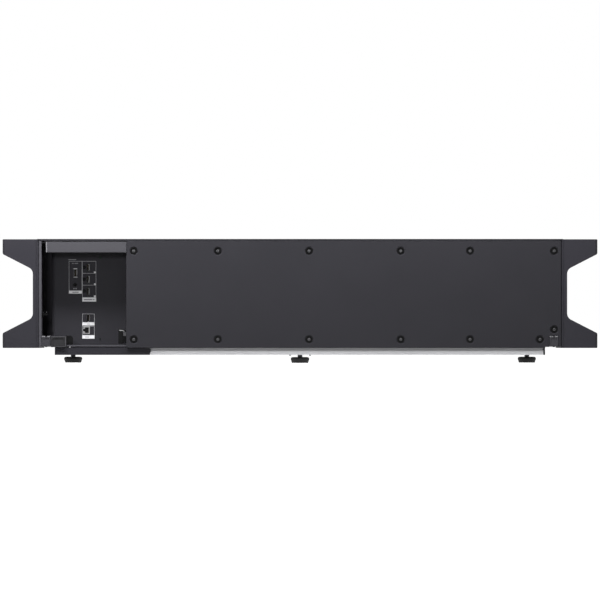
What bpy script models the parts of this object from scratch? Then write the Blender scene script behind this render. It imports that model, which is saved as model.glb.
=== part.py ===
"""Ultra short throw projector cabinet, 1.25 m wide: chassis, connector bay, optics, cooling and feet.

Metres, +Z up. The origin is on the floor under the middle of the cabinet, X runs along the width and
the rear face, which carries the connectors and stands against the screen wall, looks along -Y.
"""

import math

import bmesh
import bpy
from mathutils import Matrix, Vector

MM = 0.001

# ---- Driving sizes -------------------------------------------------------------------------
BODY_WIDTH = 1094 * MM  # over the two side walls
BODY_DEPTH = 535 * MM
TOP_Z = 260 * MM  # top face of the top panel
BELLY_Z = 32.5 * MM  # underside of the cabinet
CLEAR = 0.3 * MM  # gap between pieces that touch

SIDE_WALL = 5.2 * MM
BOTTOM_PLATE = 3.0 * MM
TOP_SKIN = 2.4 * MM
REAR_SKIN = 4.0 * MM
FRONT_SKIN = 6.0 * MM
COVER_GAP = 2.2 * MM  # shadow gap under the top panel

# Side frames: C channels that carry side cabinets and serve as lifting handles
FRAME_WEB = 12.6 * MM
WING_REACH = 63.4 * MM  # how far the flanges stand out from the web
LIP_HEIGHT = 31.0 * MM  # flange height at its outer edge
WING_SLOPE = math.radians(27.2)
NOTCH_FILLET = 15.0 * MM
LIP_FILLET = 5.0 * MM
CORNER_FILLET = 2.0 * MM
FRAME_TOP_DROP = 0.6 * MM  # the side frames end this far under the top face

# Connector bay, at the left of the rear face
BAY_WIDTH = 178.7 * MM
BAY_DEPTH = 82 * MM
SHEET = 1.5 * MM
HEADER_HEIGHT = 24.0 * MM
CHANNEL_WIDTH = 19.9 * MM  # cable channel beside the connector panel
CHANNEL_DEPTH = 140 * MM
PANEL_BEND = 8.0 * MM
WALL_SPLAY = 1.5 * MM  # the bay's right wall leans inwards by this much at the back

# Base rails
RAIL_HEIGHT = 13.9 * MM
RAIL_WIDTH = 40 * MM
RAIL_SETBACK = 22 * MM
RAIL_STEP = 4.0 * MM
RAIL_STEP_DOWN = 5.3 * MM
RAIL_END_INSET = 33 * MM
END_COVER_LENGTH = 201 * MM
END_COVER_DEPTH = 16 * MM

# Levelling feet
FOOT_INSET = 29 * MM  # front feet, in from the rail ends
PAD_RADIUS = 19.0 * MM
PAD_HEIGHT = 12.6 * MM
STUD_RADIUS = 5.4 * MM
STUD_LENGTH = 28 * MM
STUD_SEAT = 5.0 * MM  # pad material under the stud
HOLE_CLEAR = 0.4 * MM

# Fans and grilles
FAN_SIZE = 92 * MM
FAN_DEPTH = 25 * MM
FAN_BORE = 43.5 * MM
FAN_HUB = 17 * MM
FAN_PITCH = 120 * MM
FAN_FROM_FRONT = 117.5 * MM
BLADES = 7
GRILLE_HEIGHT = 74 * MM
GRILLE_LENGTH = 232 * MM
GRILLE_SKIN = 3 * MM
SLOT_WIDTH = 4.2 * MM
SLOT_PITCH = 8.4 * MM

# Optics
LENS_Z = 112 * MM
ENGINE_WIDTH = 210 * MM
ENGINE_DEPTH = 104 * MM
ENGINE_HEIGHT = 140 * MM
BARREL_LENGTH = 141 * MM
BARREL_RADIUS = 48 * MM
FRONT_RADIUS = 57 * MM
GEAR_MODULE = 3.0 * MM
RING_TEETH = 36
PINION_TEETH = 12
GEAR_FACE = 16 * MM
MIRROR_WIDTH = 176 * MM
MIRROR_HEIGHT = 128 * MM
MIRROR_TILT = math.radians(32)
MIRROR_BOW = 110 * MM  # focal length of its hollow
MIRROR_SKIN = 5 * MM
MIRROR_GAP = 78 * MM  # from the front lens to the mirror's middle

# Projection window in the top panel
WINDOW_WIDTH = 262 * MM
WINDOW_DEPTH = 172 * MM
WINDOW_BEHIND_MIRROR = 116 * MM
GLASS = 3 * MM
GLASS_DROP = 5.2 * MM  # from the top face to the glass

# Rear cover screws
SCREW_TOP = 18.3 * MM  # row's distance from the cover's top edge
SCREW_BOTTOM = 17.4 * MM
DIMPLE_RADIUS = 9.0 * MM
DIMPLE_FLOOR = 7.2 * MM
DIMPLE_DEPTH = 2.8 * MM

BRACKET_HEIGHT = 22 * MM
BRACKET_DEPTH = 15 * MM
GUIDE_WIDTH = 32.8 * MM

FLANGE_STEP = 2.0 * MM  # how far the mains inlet's flange stands out round its neck

BUTTON_TRAVEL = 1.0 * MM
BUTTON_PROUD = 1.2 * MM

# ---- Places that follow from them ----------------------------------------------------------
HALF = BODY_WIDTH / 2
INNER = HALF - SIDE_WALL
REAR = -BODY_DEPTH / 2
FRONT = BODY_DEPTH / 2
FLOOR_Z = BELLY_Z + 2.5 * MM
DECK_Z = FLOOR_Z + BOTTOM_PLATE
INSIDE_Z = DECK_Z + CLEAR
COVER_TOP = TOP_Z - TOP_SKIN - COVER_GAP
RAIL_BOTTOM = BELLY_Z - CLEAR - RAIL_HEIGHT
RAIL_TOP = BELLY_Z - CLEAR
RAIL_HALF = HALF - RAIL_END_INSET
BAY_RIGHT = -INNER + BAY_WIDTH
PANEL_Y = REAR + BAY_DEPTH
HEADER_Z = COVER_TOP - HEADER_HEIGHT
WEB_IN = HALF + CLEAR
WEB_OUT = WEB_IN + FRAME_WEB
WING_OUT = WEB_OUT + WING_REACH
FRAME_TOP = TOP_Z - FRAME_TOP_DROP
FRAME_MID = (FRAME_TOP + BELLY_Z) / 2
FAN_Z = FRAME_MID
FAN_YS = (FRONT - FAN_FROM_FRONT - FAN_PITCH, FRONT - FAN_FROM_FRONT)
FAN_MIDDLE = sum(FAN_YS) / 2
ENGINE_REAR = REAR + REAR_SKIN + 6 * MM
ENGINE_FRONT = ENGINE_REAR + ENGINE_DEPTH
LENS_REAR = ENGINE_FRONT + 6 * MM + CLEAR
LENS_FRONT = LENS_REAR + BARREL_LENGTH
RING_Y = LENS_REAR + 58 * MM
PITCH_RING = GEAR_MODULE * RING_TEETH / 2
PITCH_PINION = GEAR_MODULE * PINION_TEETH / 2
PINION_Z = LENS_Z + PITCH_RING + PITCH_PINION + CLEAR
MIRROR_Y = LENS_FRONT + MIRROR_GAP
WINDOW_Y = MIRROR_Y - WINDOW_BEHIND_MIRROR
GLASS_TOP = TOP_Z - GLASS_DROP

COLOURS = {  # slot: base colour, roughness, metallic
    "dark_paint": ((0.038, 0.038, 0.044), 0.55, 0.2),
    "frame_alloy": ((0.038, 0.038, 0.044), 0.5, 0.4),
    "silver": ((0.55, 0.55, 0.56), 0.35, 0.9),
    "black_plastic": ((0.012, 0.012, 0.013), 0.5, 0.0),
    "zinc_steel": ((0.42, 0.42, 0.43), 0.4, 0.9),
    "cast_alloy": ((0.30, 0.30, 0.31), 0.5, 0.8),
    "board_green": ((0.02, 0.12, 0.05), 0.5, 0.0),
    "port_metal": ((0.62, 0.62, 0.63), 0.3, 1.0),
    "rubber": ((0.01, 0.01, 0.01), 0.8, 0.0),
    "optic_glass": ((0.75, 0.85, 0.9), 0.05, 0.0),
    "mirror_coat": ((0.9, 0.9, 0.92), 0.03, 1.0),
}


# ---- Scene and helpers ---------------------------------------------------------------------
def start_scene():
    for old in list(bpy.data.objects):
        bpy.data.objects.remove(old)
    collections = []
    for name in ("projector", "cutters"):
        collection = bpy.data.collections.new(name)
        bpy.context.scene.collection.children.link(collection)
        collections.append(collection)
    return collections


PARTS, CUTTERS = start_scene()


def material(slot):
    found = bpy.data.materials.get(slot)
    if found:
        return found
    made = bpy.data.materials.new(slot)
    made.use_nodes = True
    shader = made.node_tree.nodes["Principled BSDF"]
    colour, roughness, metallic = COLOURS[slot]
    shader.inputs["Base Color"].default_value = (*colour, 1)
    shader.inputs["Roughness"].default_value = roughness
    shader.inputs["Metallic"].default_value = metallic
    return made


def smooth(obj):
    """Round pieces shade smoothly, with their sharp edges kept."""
    obj.data.shade_smooth()
    obj.data.set_sharp_from_angle(angle=math.radians(35))
    return obj


def place(name, mesh, slot, location=(0, 0, 0), rotation=(0, 0, 0)):
    """A part of the object where slot names its finish, or a cutter where slot is None."""
    obj = bpy.data.objects.new(name, mesh)
    obj.location = location
    obj.rotation_euler = rotation
    if slot is None:
        CUTTERS.objects.link(obj)
        obj.hide_render = True
        obj.display_type = "WIRE"
    else:
        PARTS.objects.link(obj)
        if not mesh.materials:
            mesh.materials.append(material(slot))
    return obj


def mesh_of(bm, name):
    mesh = bpy.data.meshes.new(name)
    bm.to_mesh(mesh)
    bm.free()
    return mesh


def block(name, low, high, slot, bevel=0.0, segments=1):
    """A box between two corners, with its origin in its middle."""
    low, high = Vector(low), Vector(high)
    bm = bmesh.new()
    bmesh.ops.create_cube(bm, size=1, matrix=Matrix.Diagonal((*(high - low), 1)))
    obj = place(name, mesh_of(bm, name), slot, (low + high) / 2)
    if bevel:
        round_edges(obj, bevel, segments)
    return obj


def round_edges(obj, width, segments=1, angle=50):
    bevel = obj.modifiers.new("edges", "BEVEL")
    bevel.width = width
    bevel.segments = segments
    bevel.limit_method = "ANGLE"
    bevel.angle_limit = math.radians(angle)


def rod(name, radius, low, high, axis, slot, sides=24):
    """A cylinder between two points that differ along one axis, X, Y or Z."""
    low, high = Vector(low), Vector(high)
    bm = bmesh.new()
    bmesh.ops.create_cone(
        bm, cap_ends=True, segments=sides, radius1=radius, radius2=radius, depth=(high - low).length
    )
    return smooth(place(name, mesh_of(bm, name), slot, (low + high) / 2, turn_to(axis)))


def turn_to(axis):
    """Euler angles that lay local Z along the named axis."""
    return {"X": (0, math.pi / 2, 0), "Y": (-math.pi / 2, 0, 0), "Z": (0, 0, 0)}[axis]


def turned(name, profile, location, axis, slot, steps=24, loop=False):
    """A lathe shape: (radius, height) points from the top down the outer side. A loop has a bore."""
    bm = bmesh.new()
    points = [bm.verts.new((radius, 0, height)) for radius, height in profile]
    for first, second in zip(points, points[1:]):
        bm.edges.new((first, second))
    if loop:
        bm.edges.new((points[-1], points[0]))
    obj = place(name, mesh_of(bm, name), slot, location, turn_to(axis))
    screw = obj.modifiers.new("lathe", "SCREW")
    screw.steps = screw.render_steps = steps
    screw.use_merge_vertices = True
    screw.merge_threshold = 1e-6
    obj.data = baked(obj)
    return smooth(obj)


def baked(obj):
    """The object's mesh with its modifiers applied, welded and facing outwards."""
    bpy.context.view_layer.update()
    graph = bpy.context.evaluated_depsgraph_get()
    mesh = bpy.data.meshes.new_from_object(obj.evaluated_get(graph))
    obj.modifiers.clear()
    bm = bmesh.new()
    bm.from_mesh(mesh)
    bmesh.ops.remove_doubles(bm, verts=bm.verts, dist=1e-6)
    bmesh.ops.recalc_face_normals(bm, faces=bm.faces)
    bm.to_mesh(mesh)
    bm.free()
    return mesh


PLANES = {  # how an outline's (u, v) lies in the world, and what it is extruded along
    "XZ": (math.pi / 2, 0, 0),
    "YZ": (math.pi / 2, 0, math.pi / 2),
    "XY": (0, 0, 0),
}


def prism(name, outlines, thickness, location, plane, slot):
    """A flat outline, or an outline with holes, extruded evenly to both sides of its plane."""
    curve = bpy.data.curves.new(name, "CURVE")
    curve.dimensions = "2D"
    curve.fill_mode = "BOTH"
    curve.extrude = thickness / 2
    for outline in outlines:
        spline = curve.splines.new("POLY")
        spline.points.add(len(outline) - 1)
        for point, (u, v) in zip(spline.points, outline):
            point.co = (u, v, 0, 1)
        spline.use_cyclic_u = True
    drawn = bpy.data.objects.new(name + "_curve", curve)
    CUTTERS.objects.link(drawn)
    mesh = baked(drawn)
    bpy.data.objects.remove(drawn)
    return place(name, mesh, slot, location, PLANES[plane])


def rounded(corners, per_arc=4):
    """An outline from (u, v, fillet radius) corners, its round stretches as arcs."""
    outline = []
    for i, (u, v, radius) in enumerate(corners):
        here = Vector((u, v))
        if not radius:
            outline.append(tuple(here))
            continue
        back = (Vector(corners[i - 1][:2]) - here).normalized()
        ahead = (Vector(corners[(i + 1) % len(corners)][:2]) - here).normalized()
        half = back.angle(ahead) / 2
        centre = here + (back + ahead).normalized() * (radius / math.sin(half))
        start = here + back * (radius / math.tan(half)) - centre
        end = here + ahead * (radius / math.tan(half)) - centre
        sweep = start.angle_signed(end)
        for step in range(per_arc + 1):
            arm = start.copy()
            arm.rotate(Matrix.Rotation(-sweep * step / per_arc, 2))
            outline.append(tuple(centre + arm))
    return outline


def ring_of(radius, count=24, centre=(0, 0)):
    turns = [2 * math.pi * i / count for i in range(count)]
    return [(centre[0] + radius * math.cos(a), centre[1] + radius * math.sin(a)) for a in turns]


def combine(obj, other, operation):
    boolean = obj.modifiers.new(other.name, "BOOLEAN")
    boolean.operation = operation
    boolean.solver = "EXACT"
    boolean.object = other
    return obj


def cut(obj, *cutters):
    for cutter in cutters:
        combine(obj, cutter, "DIFFERENCE")
    return obj


def join(obj, *others):
    for other in others:
        combine(obj, other, "UNION")
    return obj


def slots(name, low, high, count, pitch, along):
    """A row of equal box cutters, count of them at a pitch along one axis, from the box given."""
    cutter = block(name, low, high, None)
    array = cutter.modifiers.new("row", "ARRAY")
    array.count = count
    array.use_relative_offset = False
    array.use_constant_offset = True
    array.constant_offset_displace = Vector(along) * pitch
    return cutter


# ---- Casing --------------------------------------------------------------------------------
def foot_places():
    """Name and place of each foot: one in the middle of the rear rail, two on the front rail."""
    rear_y = REAR + RAIL_SETBACK + RAIL_WIDTH / 2
    side = RAIL_HALF - FOOT_INSET
    return {
        "foot_rear": (0, rear_y),
        "foot_left": (-side, -rear_y),
        "foot_right": (side, -rear_y),
    }


def foot_holes(name, radius, low, high, wanted):
    places = foot_places()
    return [
        rod(f"{name}_{foot}", radius, (*places[foot], low), (*places[foot], high), "Z", None)
        for foot in wanted
    ]


def bottom_plate():
    plate = block(
        "bottom_plate",
        (-INNER + CLEAR, REAR + REAR_SKIN + CLEAR, FLOOR_Z),
        (INNER - CLEAR, FRONT - FRONT_SKIN - CLEAR, DECK_Z),
        "dark_paint",
    )
    over = 5 * MM
    corner = block(
        "notch_left",
        (-HALF, REAR - over, FLOOR_Z - over),
        (-INNER + CHANNEL_WIDTH + GUIDE_WIDTH + CLEAR, REAR + BRACKET_DEPTH + 1 * MM, DECK_Z + over),
        None,
    )
    opposite = block(
        "notch_right",
        (INNER - CHANNEL_WIDTH, REAR - over, FLOOR_Z - over),
        (HALF, REAR + BRACKET_DEPTH + 1 * MM, DECK_Z + over),
        None,
    )
    holes = foot_holes("deck_hole", STUD_RADIUS + 2 * MM, FLOOR_Z - over, DECK_Z + over, foot_places())
    vents = slots(
        "belly_slot",
        (-RAIL_HALF + 120 * MM, -30 * MM, FLOOR_Z - over),
        (-RAIL_HALF + 126 * MM, 60 * MM, DECK_Z + over),
        8,
        16 * MM,
        (1, 0, 0),
    )
    return cut(plate, corner, opposite, *holes, vents)


def side_wall(name, side):
    """Inner wall of the chassis, with a round hole for each fan. side is -1 left or 1 right."""
    low_x, high_x = sorted((side * INNER, side * HALF))
    rear = REAR + (1 * MM if side < 0 else REAR_SKIN + CLEAR)  # the cover laps the right wall only
    wall = block(
        name,
        (low_x, rear, FLOOR_Z),
        (high_x, FRONT - FRONT_SKIN - CLEAR, TOP_Z - TOP_SKIN - CLEAR),
        "dark_paint",
    )
    for index, y in enumerate(FAN_YS):
        hole = rod(
            f"{name}_fan_hole_{index}",
            FAN_BORE,
            (low_x - SIDE_WALL, y, FAN_Z),
            (high_x + SIDE_WALL, y, FAN_Z),
            "X",
            None,
        )
        cut(wall, hole)
    return wall


def frame_outline(side):
    """Section of a side frame: a web and two tapering flanges that stand out from it."""
    root = LIP_HEIGHT + WING_REACH * math.tan(WING_SLOPE)
    top, low = FRAME_TOP, BELLY_Z
    corners = [
        (WEB_IN, low, 0),
        (WING_OUT, low, CORNER_FILLET),
        (WING_OUT, low + LIP_HEIGHT, LIP_FILLET),
        (WEB_OUT, low + root, NOTCH_FILLET),
        (WEB_OUT, top - root, NOTCH_FILLET),
        (WING_OUT, top - LIP_HEIGHT, LIP_FILLET),
        (WING_OUT, top, CORNER_FILLET),
        (WEB_IN, top, 0),
    ]
    return [(side * u, v) for u, v in rounded(corners)]


def side_frame(name, side):
    frame = prism(name, [frame_outline(side)], BODY_DEPTH - 1 * MM, (0, 0, 0), "XZ", "frame_alloy")
    vent = block(
        name + "_vent",
        *frame_box(side, FAN_MIDDLE, GRILLE_LENGTH / 2, GRILLE_HEIGHT / 2),
        None,
    )
    cut(frame, vent)
    over = 5 * MM
    groove_in, groove_out = 1.6 * MM, 5.5 * MM
    for end, y in (("rear", REAR), ("front", FRONT)):
        rebate = block(
            f"{name}_rebate_{end}",
            (side * (WEB_IN + groove_in / 2) - groove_in / 2 - CLEAR, y - 3.5 * MM, BELLY_Z - over),
            (side * (WEB_IN + groove_in / 2) + groove_in / 2 + CLEAR, y + 3.5 * MM, FRAME_TOP + over),
            None,
        )
        line = block(
            f"{name}_line_{end}",
            (side * (WEB_IN + groove_out) - 0.4 * MM, y - 2.5 * MM, BELLY_Z - over),
            (side * (WEB_IN + groove_out) + 0.4 * MM, y + 2.5 * MM, FRAME_TOP + over),
            None,
        )
        cut(frame, rebate, line)
    return frame


def frame_box(side, y, half_length, half_height, margin=5 * MM):
    """Corners of a box through the web of a side frame, about one point of the fan line."""
    low_x, high_x = sorted((side * (WEB_IN - margin), side * (WEB_OUT + margin)))
    return (
        (low_x, y - half_length, FAN_Z - half_height),
        (high_x, y + half_length, FAN_Z + half_height),
    )


def grille(name, side):
    """Slotted vent plate that fills the opening in a side frame's web."""
    outer = WEB_OUT - 1.5 * MM
    low_x, high_x = sorted((side * (outer - GRILLE_SKIN), side * outer))
    half_length, half_height = GRILLE_LENGTH / 2 - CLEAR, GRILLE_HEIGHT / 2 - CLEAR
    plate = block(
        name,
        (low_x, FAN_MIDDLE - half_length, FAN_Z - half_height),
        (high_x, FAN_MIDDLE + half_length, FAN_Z + half_height),
        "black_plastic",
    )
    border = 5 * MM
    count = int((GRILLE_LENGTH - 2 * border - SLOT_WIDTH) / SLOT_PITCH) + 1
    start = FAN_MIDDLE - SLOT_PITCH * (count - 1) / 2
    row = slots(
        name + "_slots",
        (low_x - border, start - SLOT_WIDTH / 2, FAN_Z - half_height + border),
        (high_x + border, start + SLOT_WIDTH / 2, FAN_Z + half_height - border),
        count,
        SLOT_PITCH,
        (0, 1, 0),
    )
    return cut(plate, row)


def top_panel():
    panel = block(
        "top_panel",
        (-HALF - 5 * MM, REAR, TOP_Z - TOP_SKIN),
        (HALF + 5 * MM, FRONT, TOP_Z),
        "dark_paint",
        0.8 * MM,
    )
    hole = block(
        "window_hole",
        (-WINDOW_WIDTH / 2, WINDOW_Y - WINDOW_DEPTH / 2, TOP_Z - 20 * MM),
        (WINDOW_WIDTH / 2, WINDOW_Y + WINDOW_DEPTH / 2, TOP_Z + 20 * MM),
        None,
    )
    ledge = 6.5 * MM  # the side frames' top flanges lie beside the panel, not under it
    trims = [
        block(
            f"frame_clearance_{index}",
            (min(side * WEB_IN, side * (WEB_IN + ledge)), REAR - ledge, TOP_Z - TOP_SKIN - ledge),
            (max(side * WEB_IN, side * (WEB_IN + ledge)), FRONT + ledge, FRAME_TOP + CLEAR),
            None,
        )
        for index, side in enumerate((-1, 1))
    ]
    return cut(panel, hole, *trims)


def front_panel():
    panel = block(
        "front_panel",
        (-HALF, FRONT - FRONT_SKIN, BELLY_Z + 0.5 * MM),
        (HALF, FRONT, TOP_Z - TOP_SKIN - CLEAR),
        "silver",
        1.5 * MM,
        2,
    )
    groove = block(
        "fascia_groove",
        (-HALF - 5 * MM, FRONT - 1.5 * MM, BELLY_Z + 38 * MM),
        (HALF + 5 * MM, FRONT + 5 * MM, BELLY_Z + 40.5 * MM),
        None,
    )
    eye = block(
        "receiver_pocket",
        (HALF - 110 * MM, FRONT - 1.8 * MM, BELLY_Z + 14 * MM),
        (HALF - 62 * MM, FRONT + 5 * MM, BELLY_Z + 26 * MM),
        None,
    )
    return cut(panel, groove, eye)


def screw_places():
    """(x, z) of the rear cover's screws: an upper and a lower row, and one over the right bracket."""
    upper_z = COVER_TOP - SCREW_TOP
    lower_z = BELLY_Z + SCREW_BOTTOM
    left = BAY_RIGHT + 14.7 * MM
    right = HALF - 14.2 * MM
    shares = (0, 0.2, 0.417, 0.635, 0.8)
    columns = [left + share * (right - left) for share in shares]
    places = [(x, z) for x in columns for z in (lower_z, upper_z)]
    places.append((right, upper_z))
    places.append((right - 29.8 * MM, lower_z))
    places.append((right, lower_z + 21 * MM))
    return places


def rear_cover():
    cover = block(
        "rear_cover",
        (BAY_RIGHT, REAR, BELLY_Z + 0.5 * MM),
        (HALF, REAR + REAR_SKIN, COVER_TOP),
        "dark_paint",
        1.2 * MM,
    )
    step = block(
        "cover_step",
        (RAIL_HALF, REAR - 5 * MM, BELLY_Z - 5 * MM),
        (HALF + 5 * MM, REAR + 10 * MM, BELLY_Z + 2.3 * MM),
        None,
    )
    notch = block(
        "bracket_notch",
        (INNER - CHANNEL_WIDTH, REAR - 5 * MM, BELLY_Z - 5 * MM),
        (INNER, REAR + 10 * MM, BELLY_Z + BRACKET_HEIGHT + 3 * MM),
        None,
    )
    bm = bmesh.new()
    for x, z in screw_places():
        lift = 1 * MM
        widen = (DIMPLE_RADIUS - DIMPLE_FLOOR) * lift / DIMPLE_DEPTH
        middle = Matrix.Translation((x, REAR + (DIMPLE_DEPTH - lift) / 2, z))
        bmesh.ops.create_cone(
            bm,
            cap_ends=True,
            segments=16,
            radius1=DIMPLE_RADIUS + widen,
            radius2=DIMPLE_FLOOR,
            depth=DIMPLE_DEPTH + lift,
            matrix=middle @ Matrix.Rotation(-math.pi / 2, 4, "X"),
        )
    dimples = place("dimples", mesh_of(bm, "dimples"), None)
    return cut(cover, step, notch, dimples)


# ---- Base rails and feet -------------------------------------------------------------------
def base_rail(name, side, feet):
    """Aluminium rail across the underside, stepped on its outer face. side is -1 rear or 1 front."""
    outer = side * (FRONT - RAIL_SETBACK)
    inner = side * (FRONT - RAIL_SETBACK - RAIL_WIDTH)
    step_z = RAIL_TOP - RAIL_STEP_DOWN
    outline = [
        (outer, RAIL_BOTTOM),
        (outer, step_z),
        (outer - side * RAIL_STEP, step_z),
        (outer - side * RAIL_STEP, RAIL_TOP),
        (inner, RAIL_TOP),
        (inner, RAIL_BOTTOM),
    ]
    rail = prism(name, [outline], 2 * RAIL_HALF, (0, 0, 0), "YZ", "silver")
    margin = 5 * MM
    radius = STUD_RADIUS + HOLE_CLEAR
    return cut(rail, *foot_holes(name, radius, RAIL_BOTTOM - margin, RAIL_TOP + margin, feet))


def rail_end_cover():
    """Dark cover over the rear rail's left end, reaching up to the bottom plate under the bay."""
    low_y = REAR + RAIL_SETBACK - END_COVER_DEPTH - CLEAR
    high_y = REAR + RAIL_SETBACK - CLEAR
    left, right = -RAIL_HALF, -RAIL_HALF + END_COVER_LENGTH
    under_cover = BAY_RIGHT - CLEAR
    bump = (RAIL_TOP + RAIL_BOTTOM) / 2
    outline = [
        (left, RAIL_BOTTOM),
        (right - 2 * MM, RAIL_BOTTOM),
        (right, bump),
        (right - 1.5 * MM, RAIL_TOP - 1.5 * MM),
        (under_cover, RAIL_TOP - 1.5 * MM),
        (under_cover, FLOOR_Z - CLEAR),
        (left + GUIDE_WIDTH, FLOOR_Z - CLEAR),
        (left + GUIDE_WIDTH, RAIL_TOP),
        (left, RAIL_TOP),
    ]
    middle = (0, (low_y + high_y) / 2, 0)
    return prism("rail_end_cover", [outline], high_y - low_y, middle, "XZ", "dark_paint")


def foot(name, x, y):
    """Levelling foot: a threaded stud, and the pad that is turned by hand to raise the cabinet."""
    seat = STUD_SEAT + CLEAR
    rod(
        name + "_stud",
        STUD_RADIUS,
        (x, y, seat),
        (x, y, seat + STUD_LENGTH),
        "Z",
        "zinc_steel",
        16,
    )
    bore = STUD_RADIUS + CLEAR
    profile = [
        (0, STUD_SEAT),
        (bore, STUD_SEAT),
        (bore, PAD_HEIGHT),
        (bore + 2.5 * MM, PAD_HEIGHT - 0.4 * MM),
        (PAD_RADIUS - 2 * MM, PAD_HEIGHT - 2.0 * MM),
        (PAD_RADIUS, PAD_HEIGHT - 3.6 * MM),
        (PAD_RADIUS, 4.2 * MM),
        (PAD_RADIUS - 3.4 * MM, 0),
        (0, 0),
    ]
    turned(name + "_pad", profile, (x, y, 0), "Z", "rubber", 28)


# ---- Connector bay -------------------------------------------------------------------------
def bay_header():
    """Lip across the top of the bay, with a return along its lower edge."""
    left = -INNER + 9.5 * MM
    y = REAR + 1.5 * MM
    face = block(
        "bay_header",
        (left, y, HEADER_Z),
        (BAY_RIGHT - 0.5 * MM, y + 2 * MM, COVER_TOP - CLEAR),
        "dark_paint",
    )
    lower = block(
        "header_return",
        (left, y, HEADER_Z),
        (BAY_RIGHT - 6 * MM, y + 22 * MM, HEADER_Z + 2 * MM),
        None,
    )
    return join(face, lower)


def bay_housing():
    """Sheet that closes the bay off from the chassis: a splayed right wall and a ceiling."""
    front_y = REAR + REAR_SKIN + CLEAR
    back_y = PANEL_Y + SHEET
    right = BAY_RIGHT - 1.0 * MM
    wall = prism(
        "bay_housing",
        [
            [
                (right, front_y),
                (right + SHEET, front_y),
                (right + SHEET - WALL_SPLAY, back_y),
                (right - WALL_SPLAY, back_y),
            ]
        ],
        COVER_TOP - 2 * MM - INSIDE_Z,
        (0, 0, (COVER_TOP - 2 * MM + INSIDE_Z) / 2),
        "XY",
        "zinc_steel",
    )
    ceiling = block(
        "bay_ceiling",
        (-INNER + CLEAR, front_y, COVER_TOP - 4 * MM),
        (right + 0.5 * MM, back_y, COVER_TOP - 2 * MM - 0.2 * MM),
        None,
    )
    window = block("inlet_window", *inlet_box(1 * MM, 30 * MM), None)
    return cut(join(wall, ceiling), window)


# Port name: (x from the panel's face edge, height, width, what its height is measured from)
PORTS = {
    "video_port_1": (68.5 * MM, -30.4 * MM, (7.4 * MM, 16.0 * MM), "top"),
    "video_port_2": (68.5 * MM, -55.4 * MM, (7.4 * MM, 16.0 * MM), "top"),
    "video_port_3": (68.5 * MM, -80.4 * MM, (7.4 * MM, 16.0 * MM), "top"),
    "data_port": (68.9 * MM, 56.7 * MM, (7.0 * MM, 14.4 * MM), "deck"),
    "network_port": (65.1 * MM, 31.1 * MM, (13.4 * MM, 15.6 * MM), "deck"),
    "remote_port": (41.0 * MM, -42.2 * MM, (8.4 * MM, 20.4 * MM), "top"),
}
JACK_OFFSET = (41.0 * MM, -67.2 * MM)
JACK_RADIUS = 3.8 * MM
FACE_LEFT = -INNER + CHANNEL_WIDTH + PANEL_BEND
PORT_PROUD = 1.2 * MM
BOARD_Y = PANEL_Y + 20 * MM


def port_place(name):
    """Middle of a port on the connector panel, and its (width, height)."""
    across, up, size, datum = PORTS[name]
    return FACE_LEFT + across, up + (HEADER_Z if datum == "top" else DECK_Z), size


def connector_panel():
    """One bent sheet: the connector face, a return into the cable channel and the channel's back."""
    left = FACE_LEFT - PANEL_BEND
    back = REAR + CHANNEL_DEPTH
    right = BAY_RIGHT - WALL_SPLAY - 1.0 * MM - CLEAR
    corners = [
        (right, PANEL_Y, 0),
        (left, PANEL_Y, PANEL_BEND),
        (left, back, 0),
        (-INNER + CLEAR, back, 0),
        (-INNER + CLEAR, back + SHEET, 0),
        (left + SHEET, back + SHEET, 0),
        (left + SHEET, PANEL_Y + SHEET, PANEL_BEND - SHEET),
        (right, PANEL_Y + SHEET, 0),
    ]
    low, high = INSIDE_Z, COVER_TOP - 4 * MM - CLEAR
    panel = prism(
        "connector_panel",
        [rounded(corners, 6)],
        high - low,
        (0, 0, (low + high) / 2),
        "XY",
        "dark_paint",
    )
    deep = 10 * MM
    for name in PORTS:
        x, z, (width, height) = port_place(name)
        hole = block(
            name + "_hole",
            (x - width / 2 - CLEAR, PANEL_Y - deep, z - height / 2 - CLEAR),
            (x + width / 2 + CLEAR, PANEL_Y + deep, z + height / 2 + CLEAR),
            None,
        )
        cut(panel, hole)
    x, z = FACE_LEFT + JACK_OFFSET[0], HEADER_Z + JACK_OFFSET[1]
    jack_hole = rod(
        "jack_hole", JACK_RADIUS + CLEAR, (x, PANEL_Y - deep, z), (x, PANEL_Y + deep, z), "Y", None
    )
    hook_x = FACE_LEFT + 90.3 * MM
    hook = prism(
        "hook_hole",
        [[(hook_x - 4 * MM, 0), (hook_x + 4 * MM, 0), (hook_x, 5.5 * MM)]],
        2 * deep,
        (0, PANEL_Y, HEADER_Z - 11 * MM),
        "XZ",
        None,
    )
    slit = block(
        "lower_slit",
        (hook_x - 1 * MM, PANEL_Y - deep, DECK_Z + 8 * MM),
        (hook_x + 1 * MM, PANEL_Y + deep, DECK_Z + 15.5 * MM),
        None,
    )
    return cut(panel, jack_hole, hook, slit)


def port_shell(name, slot="port_metal"):
    """A connector body from the panel's face back to the board, still without its opening."""
    x, z, (width, height) = port_place(name)
    return block(
        name,
        (x - width / 2, PANEL_Y - PORT_PROUD, z - height / 2),
        (x + width / 2, BOARD_Y - CLEAR, z + height / 2),
        slot,
    )


def socket(name, size, shift=(0, 0), depth=12 * MM):
    """A box cutter for a port's opening, open towards the rear."""
    x, z, _ = port_place(name)
    x, z = x + shift[0], z + shift[1]
    return block(
        f"{name}_socket_{shift[0]:.4f}_{size[0]:.4f}",
        (x - size[0] / 2, PANEL_Y - 5 * MM, z - size[1] / 2),
        (x + size[0] / 2, PANEL_Y - PORT_PROUD + depth, z + size[1] / 2),
        None,
    )


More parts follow.
